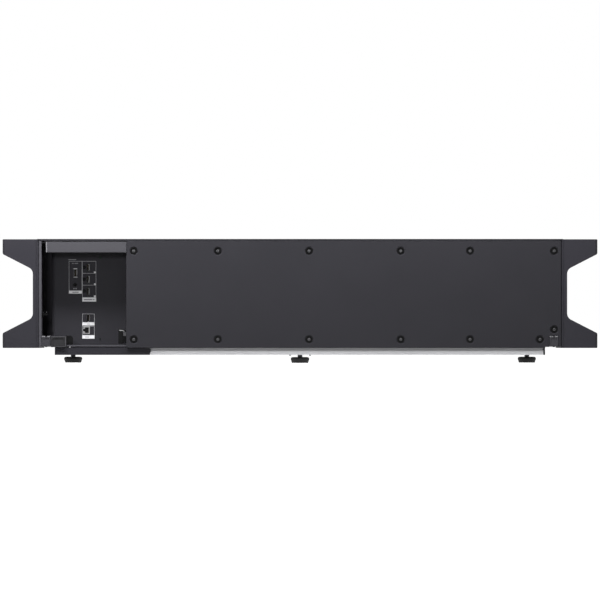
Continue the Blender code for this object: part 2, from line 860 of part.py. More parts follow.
def tongue(name, size, shift=(0, 0)):
    """Contact blade inside a socket, standing on the socket's floor."""
    x, z, _ = port_place(name)
    x, z = x + shift[0], z + shift[1]
    return block(
        name + "_tongue",
        (x - size[0] / 2, PANEL_Y + 0.5 * MM, z - size[1] / 2),
        (x + size[0] / 2, PANEL_Y + 14 * MM, z + size[1] / 2),
        None,
    )


def connectors():
    for index in (1, 2, 3):
        name = f"video_port_{index}"
        shell = cut(port_shell(name), socket(name, (5.4 * MM, 14.2 * MM)))
        join(shell, tongue(name, (1.6 * MM, 11 * MM)))
    shell = cut(port_shell("data_port"), socket("data_port", (5.4 * MM, 12.8 * MM)))
    join(shell, tongue("data_port", (1.9 * MM, 11.4 * MM), (1.2 * MM, 0)))
    latch = socket("network_port", (5 * MM, 6 * MM), (-4 * MM, 0))
    cut(port_shell("network_port"), socket("network_port", (8 * MM, 11.8 * MM), (1.6 * MM, 0)), latch)
    hollow = socket("remote_port", (5 * MM, 10 * MM), depth=7 * MM)
    shell = cut(port_shell("remote_port", "zinc_steel"), hollow)
    join(shell, tongue("remote_port", (1.6 * MM, 8 * MM)))
    x, z = FACE_LEFT + JACK_OFFSET[0], HEADER_Z + JACK_OFFSET[1]
    profile = [
        (0, 4 * MM),
        (1.8 * MM, 4 * MM),
        (1.8 * MM, 14 * MM),
        (JACK_RADIUS, 14 * MM),
        (JACK_RADIUS, -6 * MM),
        (0, -6 * MM),
    ]
    jack = turned("infrared_jack", profile, (x, PANEL_Y + 12.5 * MM, z), "Y", "black_plastic", 20)
    jack.rotation_euler = (math.pi / 2, 0, 0)


def io_board():
    x, top, _ = port_place("remote_port")
    right = BAY_RIGHT - WALL_SPLAY - 14 * MM
    board = block(
        "io_board",
        (x - 26 * MM, BOARD_Y, INSIDE_Z + 8 * MM),
        (right, BOARD_Y + 1.6 * MM, HEADER_Z - 4 * MM),
        "board_green",
    )
    chips = [
        block(
            f"io_chip_{index}",
            (x + 4 * MM, BOARD_Y + 1 * MM, z - 9 * MM),
            (x + 22 * MM, BOARD_Y + 4 * MM, z + 9 * MM),
            None,
        )
        for index, z in enumerate((top - 4 * MM, top - 50 * MM, top - 96 * MM))
    ]
    return join(board, *chips)


def bracket_box(side, left, width, height, low=FLOOR_Z):
    low_x, high_x = sorted((side * left, side * (left - width)))
    return (low_x, REAR + 0.5 * MM, low), (high_x, REAR + BRACKET_DEPTH, low + height)


def brackets():
    """Blocks at both lower corners that hook a side cabinet, each with its clamping screw's tip."""
    width = CHANNEL_WIDTH - 1 * MM
    for name, side in (("cabinet_bracket_left", -1), ("cabinet_bracket_right", 1)):
        low, high = bracket_box(side, INNER - CLEAR, width, BRACKET_HEIGHT)
        body = block(name, low, high, "dark_paint", 0.8 * MM)
        x = (low[0] + high[0]) / 2
        y = (low[1] + high[1]) / 2
        tip_low, tip_high = (x, y, FLOOR_Z - 1.8 * MM), (x, y, FLOOR_Z + 4 * MM)
        tip = rod(name + "_tip", 2.2 * MM, tip_low, tip_high, "Z", None, 12)
        slot = block(
            name + "_slot",
            (x - 1.5 * MM, REAR - 5 * MM, FLOOR_Z + BRACKET_HEIGHT - 3 * MM),
            (x + 1.5 * MM, REAR + 30 * MM, FLOOR_Z + BRACKET_HEIGHT + 5 * MM),
            None,
        )
        cut(join(body, tip), slot)


def cable_guide():
    """Framed plastic guide beside the left bracket, which keeps cables off the cabinet's edge."""
    left = INNER - CHANNEL_WIDTH
    size = (GUIDE_WIDTH - 0.5 * MM, BRACKET_HEIGHT + 1.5 * MM)
    low, high = bracket_box(-1, left, *size, BELLY_Z + 0.6 * MM)
    body = block("cable_guide", low, high, "black_plastic", 0.5 * MM)
    rim = 4 * MM
    panel = block(
        "guide_panel",
        (low[0] + rim, REAR - 5 * MM, low[2] + rim),
        (high[0] - rim, REAR + 2.2 * MM, high[2] - rim),
        None,
    )
    hollow = block(
        "guide_hollow",
        (low[0] + rim / 2, REAR + 5 * MM, low[2] + rim / 2),
        (high[0] - rim / 2, REAR + 40 * MM, high[2] - rim / 2),
        None,
    )
    return cut(body, panel, hollow)


def inlet_box(grow=0.0, extra=0.0):
    """Corners of the mains inlet's neck, grown all round, where it passes the bay's wall."""
    y = REAR + REAR_SKIN + 18 * MM
    z = INSIDE_Z + 17.5 * MM
    x = BAY_RIGHT - 8.5 * MM
    return (
        (x - extra, y - 11 * MM - grow, z - 13.5 * MM - grow),
        (x + 30 * MM + extra, y + 11 * MM + grow, z + 13.5 * MM + grow),
    )


def mains_inlet():
    """Mains inlet on the bay's right wall, and the wire bail that keeps the plug in it."""
    low, high = inlet_box()
    y, z = (low[1] + high[1]) / 2, (low[2] + high[2]) / 2
    flange_left = low[0] - 9 * MM
    neck = block("ac_inlet", low, high, "black_plastic")
    flange = block(
        "inlet_flange",
        (flange_left, low[1] - FLANGE_STEP, low[2] - FLANGE_STEP),
        (low[0] + 0.5 * MM, high[1] + FLANGE_STEP, high[2] + FLANGE_STEP),
        None,
    )
    cavity = block(
        "inlet_cavity",
        (flange_left - 5 * MM, y - 8.2 * MM, z - 12.2 * MM),
        (flange_left + 16 * MM, y + 8.2 * MM, z + 12.2 * MM),
        None,
    )
    cut(join(neck, flange), cavity)
    for index, (dy, dz) in enumerate(((0, 0), (2.5 * MM, 7 * MM), (2.5 * MM, -7 * MM))):
        pin = block(
            f"inlet_pin_{index}",
            (flange_left + 6.5 * MM, y + dy - 2 * MM, z + dz - 1 * MM),
            (flange_left + 18 * MM, y + dy + 2 * MM, z + dz + 1 * MM),
            None,
        )
        join(neck, pin)
    wire = 1.1 * MM
    arm = 13 * MM + wire + 0.5 * MM
    reach = 15 * MM
    pivot = (low[0] + 3.6 * MM, y, z + 8.5 * MM)
    curve = bpy.data.curves.new("plug_holder", "CURVE")
    curve.dimensions = "3D"
    curve.bevel_depth = wire
    curve.bevel_resolution = 1
    curve.use_fill_caps = True
    spline = curve.splines.new("POLY")
    side = [(0, -arm, -1 * MM), (0, -arm, 2 * MM)]
    side += [(-2 * MM, -arm, 5.2 * MM), (-reach + 2 * MM, -arm, 6.2 * MM)]
    corner = [(-reach, -arm + 2 * MM, 6.2 * MM)]
    route = side + corner + [(x, -across, up) for x, across, up in reversed(side + corner)]
    spline.points.add(len(route) - 1)
    for point, spot in zip(spline.points, route):
        point.co = (*spot, 1)
    drawn = bpy.data.objects.new("plug_holder_wire", curve)
    CUTTERS.objects.link(drawn)
    mesh = baked(drawn)
    bpy.data.objects.remove(drawn)
    place("plug_holder", mesh, "zinc_steel", pivot)


# ---- Cooling -------------------------------------------------------------------------------
def fan_meshes():
    """Mesh of a fan's frame and of its rotor, both about the local Z axis, mid thickness at zero."""
    half, deep = FAN_SIZE / 2, FAN_DEPTH / 2
    corner = 6 * MM
    corners = ((half, -half), (half, half), (-half, half), (-half, -half))
    square = rounded([(*spot, corner) for spot in corners], 2)
    frame = prism("fan_frame", [square, ring_of(FAN_BORE)], FAN_DEPTH, (0, 0, 0), "XY", None)
    low = -deep + 0.2 * MM
    strut_top = -deep + 3.2 * MM
    reach = FAN_BORE + 1.2 * MM
    for index, (across, along) in enumerate(((reach, 2.2 * MM), (2.2 * MM, reach))):
        strut = block(f"fan_strut_{index}", (-across, -along, low), (across, along, strut_top), None)
        join(frame, strut)
    base_low, base_high = (0, 0, low + 0.2 * MM), (0, 0, strut_top + 0.4 * MM)
    join(frame, rod("fan_base", FAN_HUB - 1 * MM, base_low, base_high, "Z", None, 16))
    frame_mesh = baked(frame)
    frame_mesh.materials.clear()
    hub_low, hub_high = strut_top + 1.2 * MM, deep - 1 * MM
    hub = rod("fan_hub", FAN_HUB, (0, 0, hub_low), (0, 0, hub_high), "Z", None, 16)
    bm = bmesh.new()
    chord, pitch = 26 * MM, math.radians(33)
    inner, outer = FAN_HUB - 2.5 * MM, FAN_BORE - 2 * MM
    for index in range(BLADES):
        turn = Matrix.Rotation(2 * math.pi * index / BLADES, 4, "Z")
        lean = Matrix.Rotation(pitch, 4, "X")
        shape = Matrix.Diagonal((outer - inner, chord, 1.6 * MM, 1))
        shift = Matrix.Translation(((inner + outer) / 2, 0, (hub_low + hub_high) / 2))
        bmesh.ops.create_cube(bm, size=1, matrix=turn @ shift @ lean @ shape)
    blades = place("fan_blades", mesh_of(bm, "fan_blades"), None)
    hub.location = (0, 0, 0)
    hub.data.transform(Matrix.Translation((0, 0, (hub_low + hub_high) / 2)))
    rotor_mesh = baked(join(hub, blades))
    rotor_mesh.materials.clear()
    return frame_mesh, rotor_mesh


def fans():
    frame_mesh, rotor_mesh = fan_meshes()
    for air, side in (("intake", -1), ("exhaust", 1)):
        x = side * (INNER - CLEAR - FAN_DEPTH / 2)
        turn = (0, math.pi / 2, 0)
        for where, y in zip(("rear", "front"), FAN_YS):
            place(f"{air}_fan_{where}_frame", frame_mesh, "black_plastic", (x, y, FAN_Z), turn)
            place(f"{air}_fan_{where}_rotor", rotor_mesh, "black_plastic", (x, y, FAN_Z), turn)


def laser_box():
    left = ENGINE_WIDTH / 2 + 60 * MM
    return (left, ENGINE_REAR, INSIDE_Z), (left + 180 * MM, ENGINE_REAR + 170 * MM, INSIDE_Z + 104 * MM)


def laser_module():
    low, high = laser_box()
    body = block("laser_module", low, high, "cast_alloy", 3 * MM)
    y = (ENGINE_REAR + ENGINE_FRONT) / 2
    tube_low, tube_high = (ENGINE_WIDTH / 2 + CLEAR, y, LENS_Z), (low[0] + 10 * MM, y, LENS_Z)
    tube = rod("light_tube", 24 * MM, tube_low, tube_high, "X", None)
    return join(body, tube)


def heatsink():
    """Comb of fins between the laser module and the exhaust fans, its channels along the air flow."""
    laser_low, laser_high = laser_box()
    left = laser_high[0] + CLEAR
    right = INNER - FAN_DEPTH - 10 * MM
    low_y, high_y = laser_low[1], FAN_YS[1] + FAN_SIZE / 2
    fin, pitch, base, top = 2.4 * MM, 13 * MM, 8 * MM, 118 * MM
    count = int((high_y - low_y - fin) / pitch)
    outline = [(low_y, 0)]
    for index in range(count + 1):
        start = low_y + index * pitch
        outline += [(start, top), (start + fin, top)]
        if index < count:
            outline += [(start + fin, base), (start + pitch, base)]
    outline.append((low_y + count * pitch + fin, 0))
    middle = ((left + right) / 2, 0, INSIDE_Z)
    return prism("laser_heatsink", [outline], right - left, middle, "YZ", "silver")


# ---- Optics --------------------------------------------------------------------------------
def optical_engine():
    half = ENGINE_WIDTH / 2
    body = block(
        "optical_engine",
        (-half, ENGINE_REAR, INSIDE_Z),
        (half, ENGINE_FRONT, INSIDE_Z + ENGINE_HEIGHT),
        "cast_alloy",
        3 * MM,
    )
    mount = rod(
        "lens_mount",
        FRONT_RADIUS - 1 * MM,
        (0, ENGINE_FRONT - 10 * MM, LENS_Z),
        (0, ENGINE_FRONT + 6 * MM, LENS_Z),
        "Y",
        None,
    )
    return join(body, mount)


def lens():
    """Barrel along Y with its front end open towards the mirror, and the front element in it."""
    cup = 14 * MM
    seat = BARREL_RADIUS - 1 * MM
    profile = [
        (0, BARREL_LENGTH - cup),
        (seat, BARREL_LENGTH - cup),
        (seat + 3 * MM, BARREL_LENGTH),
        (FRONT_RADIUS, BARREL_LENGTH),
        (FRONT_RADIUS, BARREL_LENGTH - 34 * MM),
        (BARREL_RADIUS, BARREL_LENGTH - 50 * MM),
        (BARREL_RADIUS, 40 * MM),
        (BARREL_RADIUS - 6 * MM, 34 * MM),
        (BARREL_RADIUS - 6 * MM, 0),
        (0, 0),
    ]
    turned("lens_barrel", profile, (0, LENS_REAR, LENS_Z), "Y", "black_plastic", 32)
    bulge = 9 * MM
    radius = seat - CLEAR
    dome = [
        (radius * math.sin(angle), bulge * math.cos(angle) + 2 * MM)
        for angle in [math.pi / 2 * step / 5 for step in range(6)]
    ]
    base_y = LENS_FRONT - cup + CLEAR
    turned("front_lens", [*dome, (radius, 0), (0, 0)], (0, base_y, LENS_Z), "Y", "optic_glass", 24)


def gear_outline(teeth, phase):
    """Straight-sided teeth with a little backlash, about the origin. phase is in tooth pitches."""
    pitch = 2 * math.pi / teeth
    middle = GEAR_MODULE * teeth / 2
    tip, root = middle + 0.8 * GEAR_MODULE, middle - 1.05 * GEAR_MODULE
    outline = []
    for index in range(teeth):
        centre = (index + phase) * pitch
        for radius, share in ((root, -0.31), (tip, -0.13), (tip, 0.13), (root, 0.31)):
            angle = centre + share * pitch
            outline.append((radius * math.cos(angle), radius * math.sin(angle)))
    return outline


def focus_drive():
    """Toothed focus ring on the barrel, the pinion above it and the motor that turns the pinion."""
    bore = ring_of(BARREL_RADIUS + 0.4 * MM, 32)
    outlines = [gear_outline(RING_TEETH, 0.5), bore]
    prism("focus_ring", outlines, GEAR_FACE, (0, RING_Y, LENS_Z), "XZ", "black_plastic")
    shaft = 3 * MM
    pinion_bore = ring_of(shaft + CLEAR, 12)
    prism(
        "focus_pinion",
        [gear_outline(PINION_TEETH, 0), pinion_bore],
        GEAR_FACE + 2 * MM,
        (0, RING_Y, PINION_Z),
        "XZ",
        "port_metal",
    )
    plate_y = ENGINE_FRONT + CLEAR
    plate = block(
        "focus_motor",
        (-20 * MM, plate_y, LENS_Z + FRONT_RADIUS),
        (20 * MM, plate_y + 4 * MM, PINION_Z + 16 * MM),
        "zinc_steel",
    )
    body_end = RING_Y - GEAR_FACE / 2 - 6 * MM
    can = rod("motor_can", 13.5 * MM, (0, plate_y + 2 * MM, PINION_Z), (0, body_end, PINION_Z), "Y", None)
    spindle = rod(
        "motor_shaft", shaft, (0, body_end - 5 * MM, PINION_Z), (0, RING_Y + 14 * MM, PINION_Z), "Y", None, 12
    )
    return join(plate, can, spindle)


def projection_mirror():
    """Hollow-ground mirror that throws the picture up and back to the wall, on its cast mount."""
    bm = bmesh.new()
    bmesh.ops.create_grid(bm, x_segments=8, y_segments=6, size=0.5)
    for vert in bm.verts:
        u, v = vert.co.x * MIRROR_WIDTH, vert.co.y * MIRROR_HEIGHT
        vert.co = (u, v, (u * u + v * v) / (4 * MIRROR_BOW))
    mesh = mesh_of(bm, "projection_mirror")
    centre = (0, MIRROR_Y, LENS_Z + 8 * MM)
    lean = math.pi / 2 - MIRROR_TILT
    mirror = place("projection_mirror", mesh, "mirror_coat", centre, (lean, 0, 0))
    glass = mirror.modifiers.new("glass", "SOLIDIFY")
    glass.thickness = MIRROR_SKIN
    glass.offset = -1
    foot_y = MIRROR_Y + 34 * MM
    stand = block(
        "mirror_mount",
        (-MIRROR_WIDTH / 2 + 8 * MM, MIRROR_Y - 26 * MM, INSIDE_Z),
        (MIRROR_WIDTH / 2 - 8 * MM, foot_y + 42 * MM, INSIDE_Z + 6 * MM),
        "cast_alloy",
    )
    back = block(
        "mount_back",
        (-50 * MM, foot_y + 18 * MM, INSIDE_Z + 2 * MM),
        (50 * MM, foot_y + 26 * MM, LENS_Z + 40 * MM),
        None,
    )
    return join(stand, back)


def window():
    """Bezel under the aperture of the top panel, with a collar up through it and a ledge for the glass."""
    half_w, half_d = WINDOW_WIDTH / 2, WINDOW_DEPTH / 2

    def slab(name, grow, low, high, slot=None):
        return block(
            name,
            (-half_w - grow, WINDOW_Y - half_d - grow, low),
            (half_w + grow, WINDOW_Y + half_d + grow, high),
            slot,
        )

    under = TOP_Z - TOP_SKIN - CLEAR
    bezel = slab("window_bezel", 9 * MM, under - 8 * MM, under, "black_plastic")
    collar = slab("bezel_collar", -0.5 * MM, under - 2 * MM, TOP_Z - 0.3 * MM)
    seat = slab("glass_seat", -6 * MM, GLASS_TOP - GLASS - CLEAR, TOP_Z + 5 * MM)
    opening = slab("light_opening", -11 * MM, under - 20 * MM, TOP_Z + 5 * MM)
    cut(join(bezel, collar), seat, opening)
    slab("window_glass", -6 * MM - CLEAR, GLASS_TOP - GLASS, GLASS_TOP, "optic_glass")


# ---- Electronics ---------------------------------------------------------------------------
def power_supply():
    left = -INNER + FAN_DEPTH + 16 * MM
    front = FRONT - FRONT_SKIN - 30 * MM
    case = block(
        "power_supply",
        (left, front - 210 * MM, INSIDE_Z),
        (left + 200 * MM, front, INSIDE_Z + 92 * MM),
        "zinc_steel",
        1.5 * MM,
    )
    terminals = block(
        "supply_terminals",
        (left + 195 * MM, front - 150 * MM, INSIDE_Z + 20 * MM),
        (left + 212 * MM, front - 60 * MM, INSIDE_Z + 44 * MM),
        None,
    )
    return join(case, terminals)


def main_board():
    """Board on four posts beside the optical engine and ahead of the inlet, with its coolers on top."""
    right = -ENGINE_WIDTH / 2 - 10 * MM
    left = right - 150 * MM
    rear = inlet_box(FLANGE_STEP)[1][1] + 2 * MM
    front = rear + 230 * MM
    low = INSIDE_Z + 12 * MM
    board = block("main_board", (left, rear, low), (right, front, low + 1.6 * MM), "board_green")
    inset, radius = 10 * MM, 4 * MM
    for index, (x, y) in enumerate(((left, rear), (right, rear), (left, front), (right, front))):
        x += inset if x == left else -inset
        y += inset if y == rear else -inset
        join(board, rod(f"board_post_{index}", radius, (x, y, INSIDE_Z), (x, y, low + 1 * MM), "Z", None, 8))
    for index, (dx, dy, width, height) in enumerate(
        ((40, 60, 46, 18), (104, 70, 30, 10), (44, 150, 36, 12), (108, 170, 24, 6))
    ):
        x, y, half = left + dx * MM, rear + dy * MM, width * MM / 2
        join(
            board,
            block(
                f"cooler_{index}", (x - half, y - half, low + 1 * MM), (x + half, y + half, low + height * MM), None
            ),
        )
    return board


# ---- Controls ------------------------------------------------------------------------------
BUTTONS = {  # name: (distance from the rear face, radius)
    "power_button": (62 * MM, 7.0 * MM),
    "input_button": (88 * MM, 4.5 * MM),
    "menu_button": (106 * MM, 4.5 * MM),
}


def buttons(frame):
    """Push buttons in the web of the right side frame."""
    for name, (from_rear, radius) in BUTTONS.items():
        y = REAR + from_rear
        hole = rod(
            name + "_hole",
            radius + HOLE_CLEAR,
            (WEB_IN - 5 * MM, y, FAN_Z),
            (WEB_OUT + 5 * MM, y, FAN_Z),
            "X",
            None,
        )
        cut(frame, hole)
        back = HALF + BUTTON_TRAVEL + 2 * CLEAR
        cap = rod(name, radius, (back, y, FAN_Z), (WEB_OUT + BUTTON_PROUD, y, FAN_Z), "X", "black_plastic", 20)
        round_edges(cap, 0.6 * MM, 1, 60)


def build():
    bottom_plate()
    side_wall("side_wall_left", -1)
    side_wall("side_wall_right", 1)
    side_frame("side_frame_left", -1)
    right_frame = side_frame("side_frame_right", 1)
    buttons(right_frame)
    grille("intake_grille", -1)
    grille("exhaust_grille", 1)
    top_panel()
    front_panel()
    rear_cover()
    base_rail("base_rail_rear", -1, ["foot_rear"])
    base_rail("base_rail_front", 1, ["foot_left", "foot_right"])
    rail_end_cover()
    for name, (x, y) in foot_places().items():
        foot(name, x, y)
    bay_header()
    bay_housing()
    connector_panel()
    connectors()
    io_board()
    brackets()
    cable_guide()
    mains_inlet()
    fans()
    laser_module()
    heatsink()
    optical_engine()
    lens()
    focus_drive()
    projection_mirror()
    window()
    power_supply()
    main_board()


build()
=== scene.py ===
import math

import bmesh
import bpy
from mathutils import Matrix, Vector


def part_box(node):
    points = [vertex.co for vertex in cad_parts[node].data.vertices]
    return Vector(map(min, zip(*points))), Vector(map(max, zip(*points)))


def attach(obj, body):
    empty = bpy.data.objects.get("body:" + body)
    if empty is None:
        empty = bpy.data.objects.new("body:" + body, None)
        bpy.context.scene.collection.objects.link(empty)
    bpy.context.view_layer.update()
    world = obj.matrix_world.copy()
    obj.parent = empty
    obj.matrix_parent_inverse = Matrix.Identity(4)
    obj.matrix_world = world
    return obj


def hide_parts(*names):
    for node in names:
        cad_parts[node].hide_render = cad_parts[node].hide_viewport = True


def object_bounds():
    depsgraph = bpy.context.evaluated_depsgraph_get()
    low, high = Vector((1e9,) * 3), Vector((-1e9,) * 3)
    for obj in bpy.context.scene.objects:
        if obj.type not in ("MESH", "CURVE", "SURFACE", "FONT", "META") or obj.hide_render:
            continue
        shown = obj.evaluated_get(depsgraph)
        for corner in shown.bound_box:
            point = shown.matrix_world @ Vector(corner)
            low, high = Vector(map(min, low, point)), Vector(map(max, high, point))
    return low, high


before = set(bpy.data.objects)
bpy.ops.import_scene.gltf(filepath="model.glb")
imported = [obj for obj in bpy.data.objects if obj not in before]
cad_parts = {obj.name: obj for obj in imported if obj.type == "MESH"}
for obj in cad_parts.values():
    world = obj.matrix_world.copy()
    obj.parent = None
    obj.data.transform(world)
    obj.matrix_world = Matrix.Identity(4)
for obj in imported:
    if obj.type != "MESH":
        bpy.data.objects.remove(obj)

mm = 0.001
cabinet = "cabinet"
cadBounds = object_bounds()
print("frame loaded:", len(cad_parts), "nodes")

# Shader maths: a Wire is an output socket, and sums on wires add Math nodes


class Wire:
    def __init__(self, tree, socket):
        self.tree, self.socket = tree, socket

    def make(self, kind, settings=None, inputs=None, output=0):
        node = self.tree.nodes.new("ShaderNode" + kind)
        for name, value in (settings or {}).items():
            if name == "stops":
                self.setStops(node.color_ramp, value)
            else:
                setattr(node, name, value)
        for name, value in (inputs or {}).items():
            self.feed(node.inputs[name], value)
        return Wire(self.tree, node.outputs[output])

    def feed(self, socket, value):
        if isinstance(value, Wire):
            self.tree.links.new(value.socket, socket)
        else:
            socket.default_value = value

    def setStops(self, ramp, stops):
        while len(ramp.elements) < len(stops):
            ramp.elements.new(0.5)
        for element, (position, level) in zip(ramp.elements, stops):
            element.position = position
            element.color = (level, level, level, 1)

    def maths(self, operation, first, second):
        return self.make("Math", {"operation": operation}, {0: first, 1: second})

    def __add__(self, other):
        return self.maths("ADD", self, other)

    def __radd__(self, other):
        return self.maths("ADD", other, self)

    def __sub__(self, other):
        return self.maths("SUBTRACT", self, other)

    def __rsub__(self, other):
        return self.maths("SUBTRACT", other, self)

    def __mul__(self, other):
        return self.maths("MULTIPLY", self, other)

    def __rmul__(self, other):
        return self.maths("MULTIPLY", other, self)

    def __gt__(self, other):
        return self.maths("GREATER_THAN", self, other)

    def __lt__(self, other):
        return self.maths("LESS_THAN", self, other)

    def ramp(self, *stops):
        return self.make("ValToRGB", {"stops": stops}, {"Fac": self})

    def noise(self, scale, stretch=(1, 1, 1), detail=2, roughness=0.5):
        place = self.make("Mapping", None, {"Vector": self, "Scale": stretch})
        return place.make(
            "TexNoise", None, {"Vector": place, "Scale": scale, "Detail": detail, "Roughness": roughness}
        )

    def cells(self, scale, stretch=(1, 1, 1), feature="F1"):
        place = self.make("Mapping", None, {"Vector": self, "Scale": stretch})
        return place.make("TexVoronoi", {"feature": feature}, {"Vector": place, "Scale": scale})

    def axis(self, letter):
        return self.make("SeparateXYZ", None, {"Vector": self}, "XYZ".index(letter))

    def blend(self, low, high):
        # a colour between two, by this wire
        low, high = (tone if isinstance(tone, Wire) else (*tone, 1) for tone in (low, high))
        return self.make("Mix", {"data_type": "RGBA"}, {0: self, 6: low, 7: high}, 2)


class Finish:
    # one material: put() sets or links a socket of its shader, and place is the Object coordinate
    def __init__(self, name, roughness=0.5, metallic=0.0, **fixed):
        self.material = bpy.data.materials.new(name)
        self.material.use_nodes = True
        tree = self.material.node_tree
        self.shader = tree.nodes["Principled BSDF"]
        self.place = Wire(tree, tree.nodes.new("ShaderNodeTexCoord").outputs["Object"])
        self.put("Roughness", roughness)
        self.put("Metallic", metallic)
        for socket, value in fixed.items():
            self.put(socket.replace("_", " "), value)

    def put(self, socket, value):
        if not isinstance(value, Wire) and hasattr(value, "__len__") and len(value) == 3:
            value = (*value, 1)
        self.place.feed(self.shader.inputs[socket], value)

    def bump(self, height, distance, strength=1.0):
        normal = self.place.make(
            "Bump", None, {"Height": height, "Distance": distance, "Strength": strength}
        )
        self.put("Normal", normal)


# Finishes

coatTones = {  # base colour, and how far its mottling goes
    "darkCoat": ((0.0255, 0.0250, 0.0292), 0.14),
    # the connector panel's dark paint, lightened as painted light against the shade deep in the bay
    "litPanelCoat": ((0.0330, 0.0322, 0.0375), 0.12),
    # the bay housing's dark paint, lightened as painted light so its shaded wall reads brighter
    "litHousingCoat": ((0.0420, 0.0410, 0.0470), 0.12),
    "headerCoat": ((0.0570, 0.0560, 0.0630), 0.08),
    "baseCoat": ((0.0240, 0.0234, 0.0285), 0.12),
    # the walls' dark paint, lightened as painted highlight for the lit rear edges of the side walls and bottom plate
    "litWallCoat": ((0.0640, 0.0625, 0.0715), 0.12),
    # painted highlight: a light copy of the dark paint for the header's left end
    "edgeHighlightCoat": ((0.1700, 0.1680, 0.1800), 0.10),
    # the brackets' dark paint, lightened as painted light where their faces catch highlights
    "litBracketCoat": ((0.0440, 0.0432, 0.0490), 0.10),
    # painted highlight for the brackets' top edges
    "trimHighlightCoat": ((0.2300, 0.2270, 0.2400), 0.10),
    # painted highlight for the cable guide's edges
    "guideHighlightCoat": ((0.0640, 0.0630, 0.0690), 0.10),
}


def powderCoat(name):
    # orange peel, fine speckle and a slow drift in tone
    tone, drift = coatTones[name]
    finish = Finish(name, Specular_IOR_Level=0.12)
    slow = finish.place.noise(9, detail=3)
    peel = finish.place.noise(1100, detail=3, roughness=0.6)
    speckle = finish.place.cells(1500)
    dark = tuple(part * (1 - drift) for part in tone)
    light = tuple(part * (1 + drift) for part in tone)
    finish.put("Base Color", (slow * 0.6 + peel * 0.4).blend(dark, light))
    finish.put("Roughness", 0.47 + slow * 0.06 + peel * 0.08)
    finish.bump(peel * 0.7 + speckle * 0.3, 0.00005, 0.8)
    return finish.material


def anodisedFrame():
    # drawn lines run the length of the extrusion
    finish = Finish("anodisedFrame", Specular_IOR_Level=0.16)
    lines = finish.place.noise(2200, (1, 0.012, 1), detail=3, roughness=0.7)
    slow = finish.place.noise(7, detail=2)
    finish.put("Base Color", (lines * 0.45 + slow * 0.55).blend((0.0225, 0.0218, 0.0268), (0.0330, 0.0320, 0.0390)))
    finish.put("Roughness", 0.40 + lines * 0.10)
    finish.bump(lines, 0.00003, 0.6)
    return finish.material


def brushedAluminium(name, tone, stretch=(0.006, 1, 1), roughness=0.26, paintedShadeBand=None):
    # paintedShadeBand is the height where painted shade begins and the height where it is full: the top is darkened as
    # if in the shadow of what overhangs it
    finish = Finish(name, metallic=1.0)
    grain = finish.place.noise(3200, stretch, detail=4, roughness=0.7)
    cloud = finish.place.noise(14, (0.4, 1, 1), detail=2)
    low = tuple(part * 0.86 for part in tone)
    colour = (grain * 0.6 + cloud * 0.4).blend(low, tone)
    if paintedShadeBand:
        # painted shade: darker towards the top, standing in for the cover's shadow on the rail
        film = ((finish.place.axis("Z") - paintedShadeBand[0]) * (1 / (paintedShadeBand[1] - paintedShadeBand[0]))).ramp((0, 0), (1, 1))
        colour = film.blend(colour, tuple(part * 0.27 for part in tone))
    finish.put("Base Color", colour)
    finish.put("Roughness", roughness + grain * 0.16)
    finish.bump(grain, 0.00003, 0.5)
    return finish.material


def moulded(name, tone, roughness=0.48, grain=1400):
    # moulded plastic with a fine spark-eroded grain
    finish = Finish(name, Specular_IOR_Level=0.2)
    pits = finish.place.noise(grain, detail=3, roughness=0.65)
    slow = finish.place.noise(22, detail=2)
    light = tuple(part * 1.5 for part in tone)
    finish.put("Base Color", (pits * 0.5 + slow * 0.5).blend(tone, light))
    finish.put("Roughness", roughness + pits * 0.12)
    finish.bump(pits, 0.00004, 0.7)
    return finish.material


def zincPlate(name="zincPlate", tone=(0.50, 0.50, 0.50)):
    finish = Finish(name, metallic=1.0)
    spangle = finish.place.cells(160)
    fine = finish.place.noise(900, detail=3)
    low = tuple(part * 0.78 for part in tone)
    finish.put("Base Color", (spangle * 0.6 + fine * 0.4).blend(low, tone))
    finish.put("Roughness", 0.30 + spangle * 0.14 + fine * 0.06)
    finish.bump(fine, 0.00002, 0.4)
    return finish.material


def nickel():
    finish = Finish("nickel", metallic=1.0)
    hairlines = finish.place.noise(2600, (1, 1, 0.03), detail=3)
    finish.put("Base Color", hairlines.blend((0.58, 0.57, 0.55), (0.74, 0.73, 0.71)))
    finish.put("Roughness", 0.18 + hairlines * 0.16)
    return finish.material


def blackScrew():
    finish = Finish("blackScrew", metallic=0.75)
    oxide = finish.place.noise(700, detail=3)
    finish.put("Base Color", oxide.blend((0.055, 0.055, 0.060), (0.115, 0.115, 0.120)))
    finish.put("Roughness", 0.34 + oxide * 0.16)
    finish.bump(oxide, 0.00003, 0.4)
    return finish.material


def rubberFoot():
    finish = Finish("rubberFoot", Specular_IOR_Level=0.35)
    fine = finish.place.noise(1200, detail=3)
    dust = finish.place.noise(60, detail=4, roughness=0.7).ramp((0.52, 0), (0.78, 1))
    finish.put("Base Color", dust.blend((0.0085, 0.0085, 0.0090), (0.0210, 0.0205, 0.0200)))
    finish.put("Roughness", 0.52 + fine * 0.16)
    finish.bump(fine, 0.00005, 0.8)
    return finish.material


def castMetal():
    finish = Finish("castMetal", metallic=0.85)
    skin = finish.place.noise(420, detail=4, roughness=0.65)
    cloud = finish.place.noise(18, detail=2)
    finish.put("Base Color", (skin * 0.5 + cloud * 0.5).blend((0.20, 0.20, 0.205), (0.36, 0.36, 0.365)))
    finish.put("Roughness", 0.46 + skin * 0.16)
    finish.bump(skin, 0.00015, 0.8)
    return finish.material


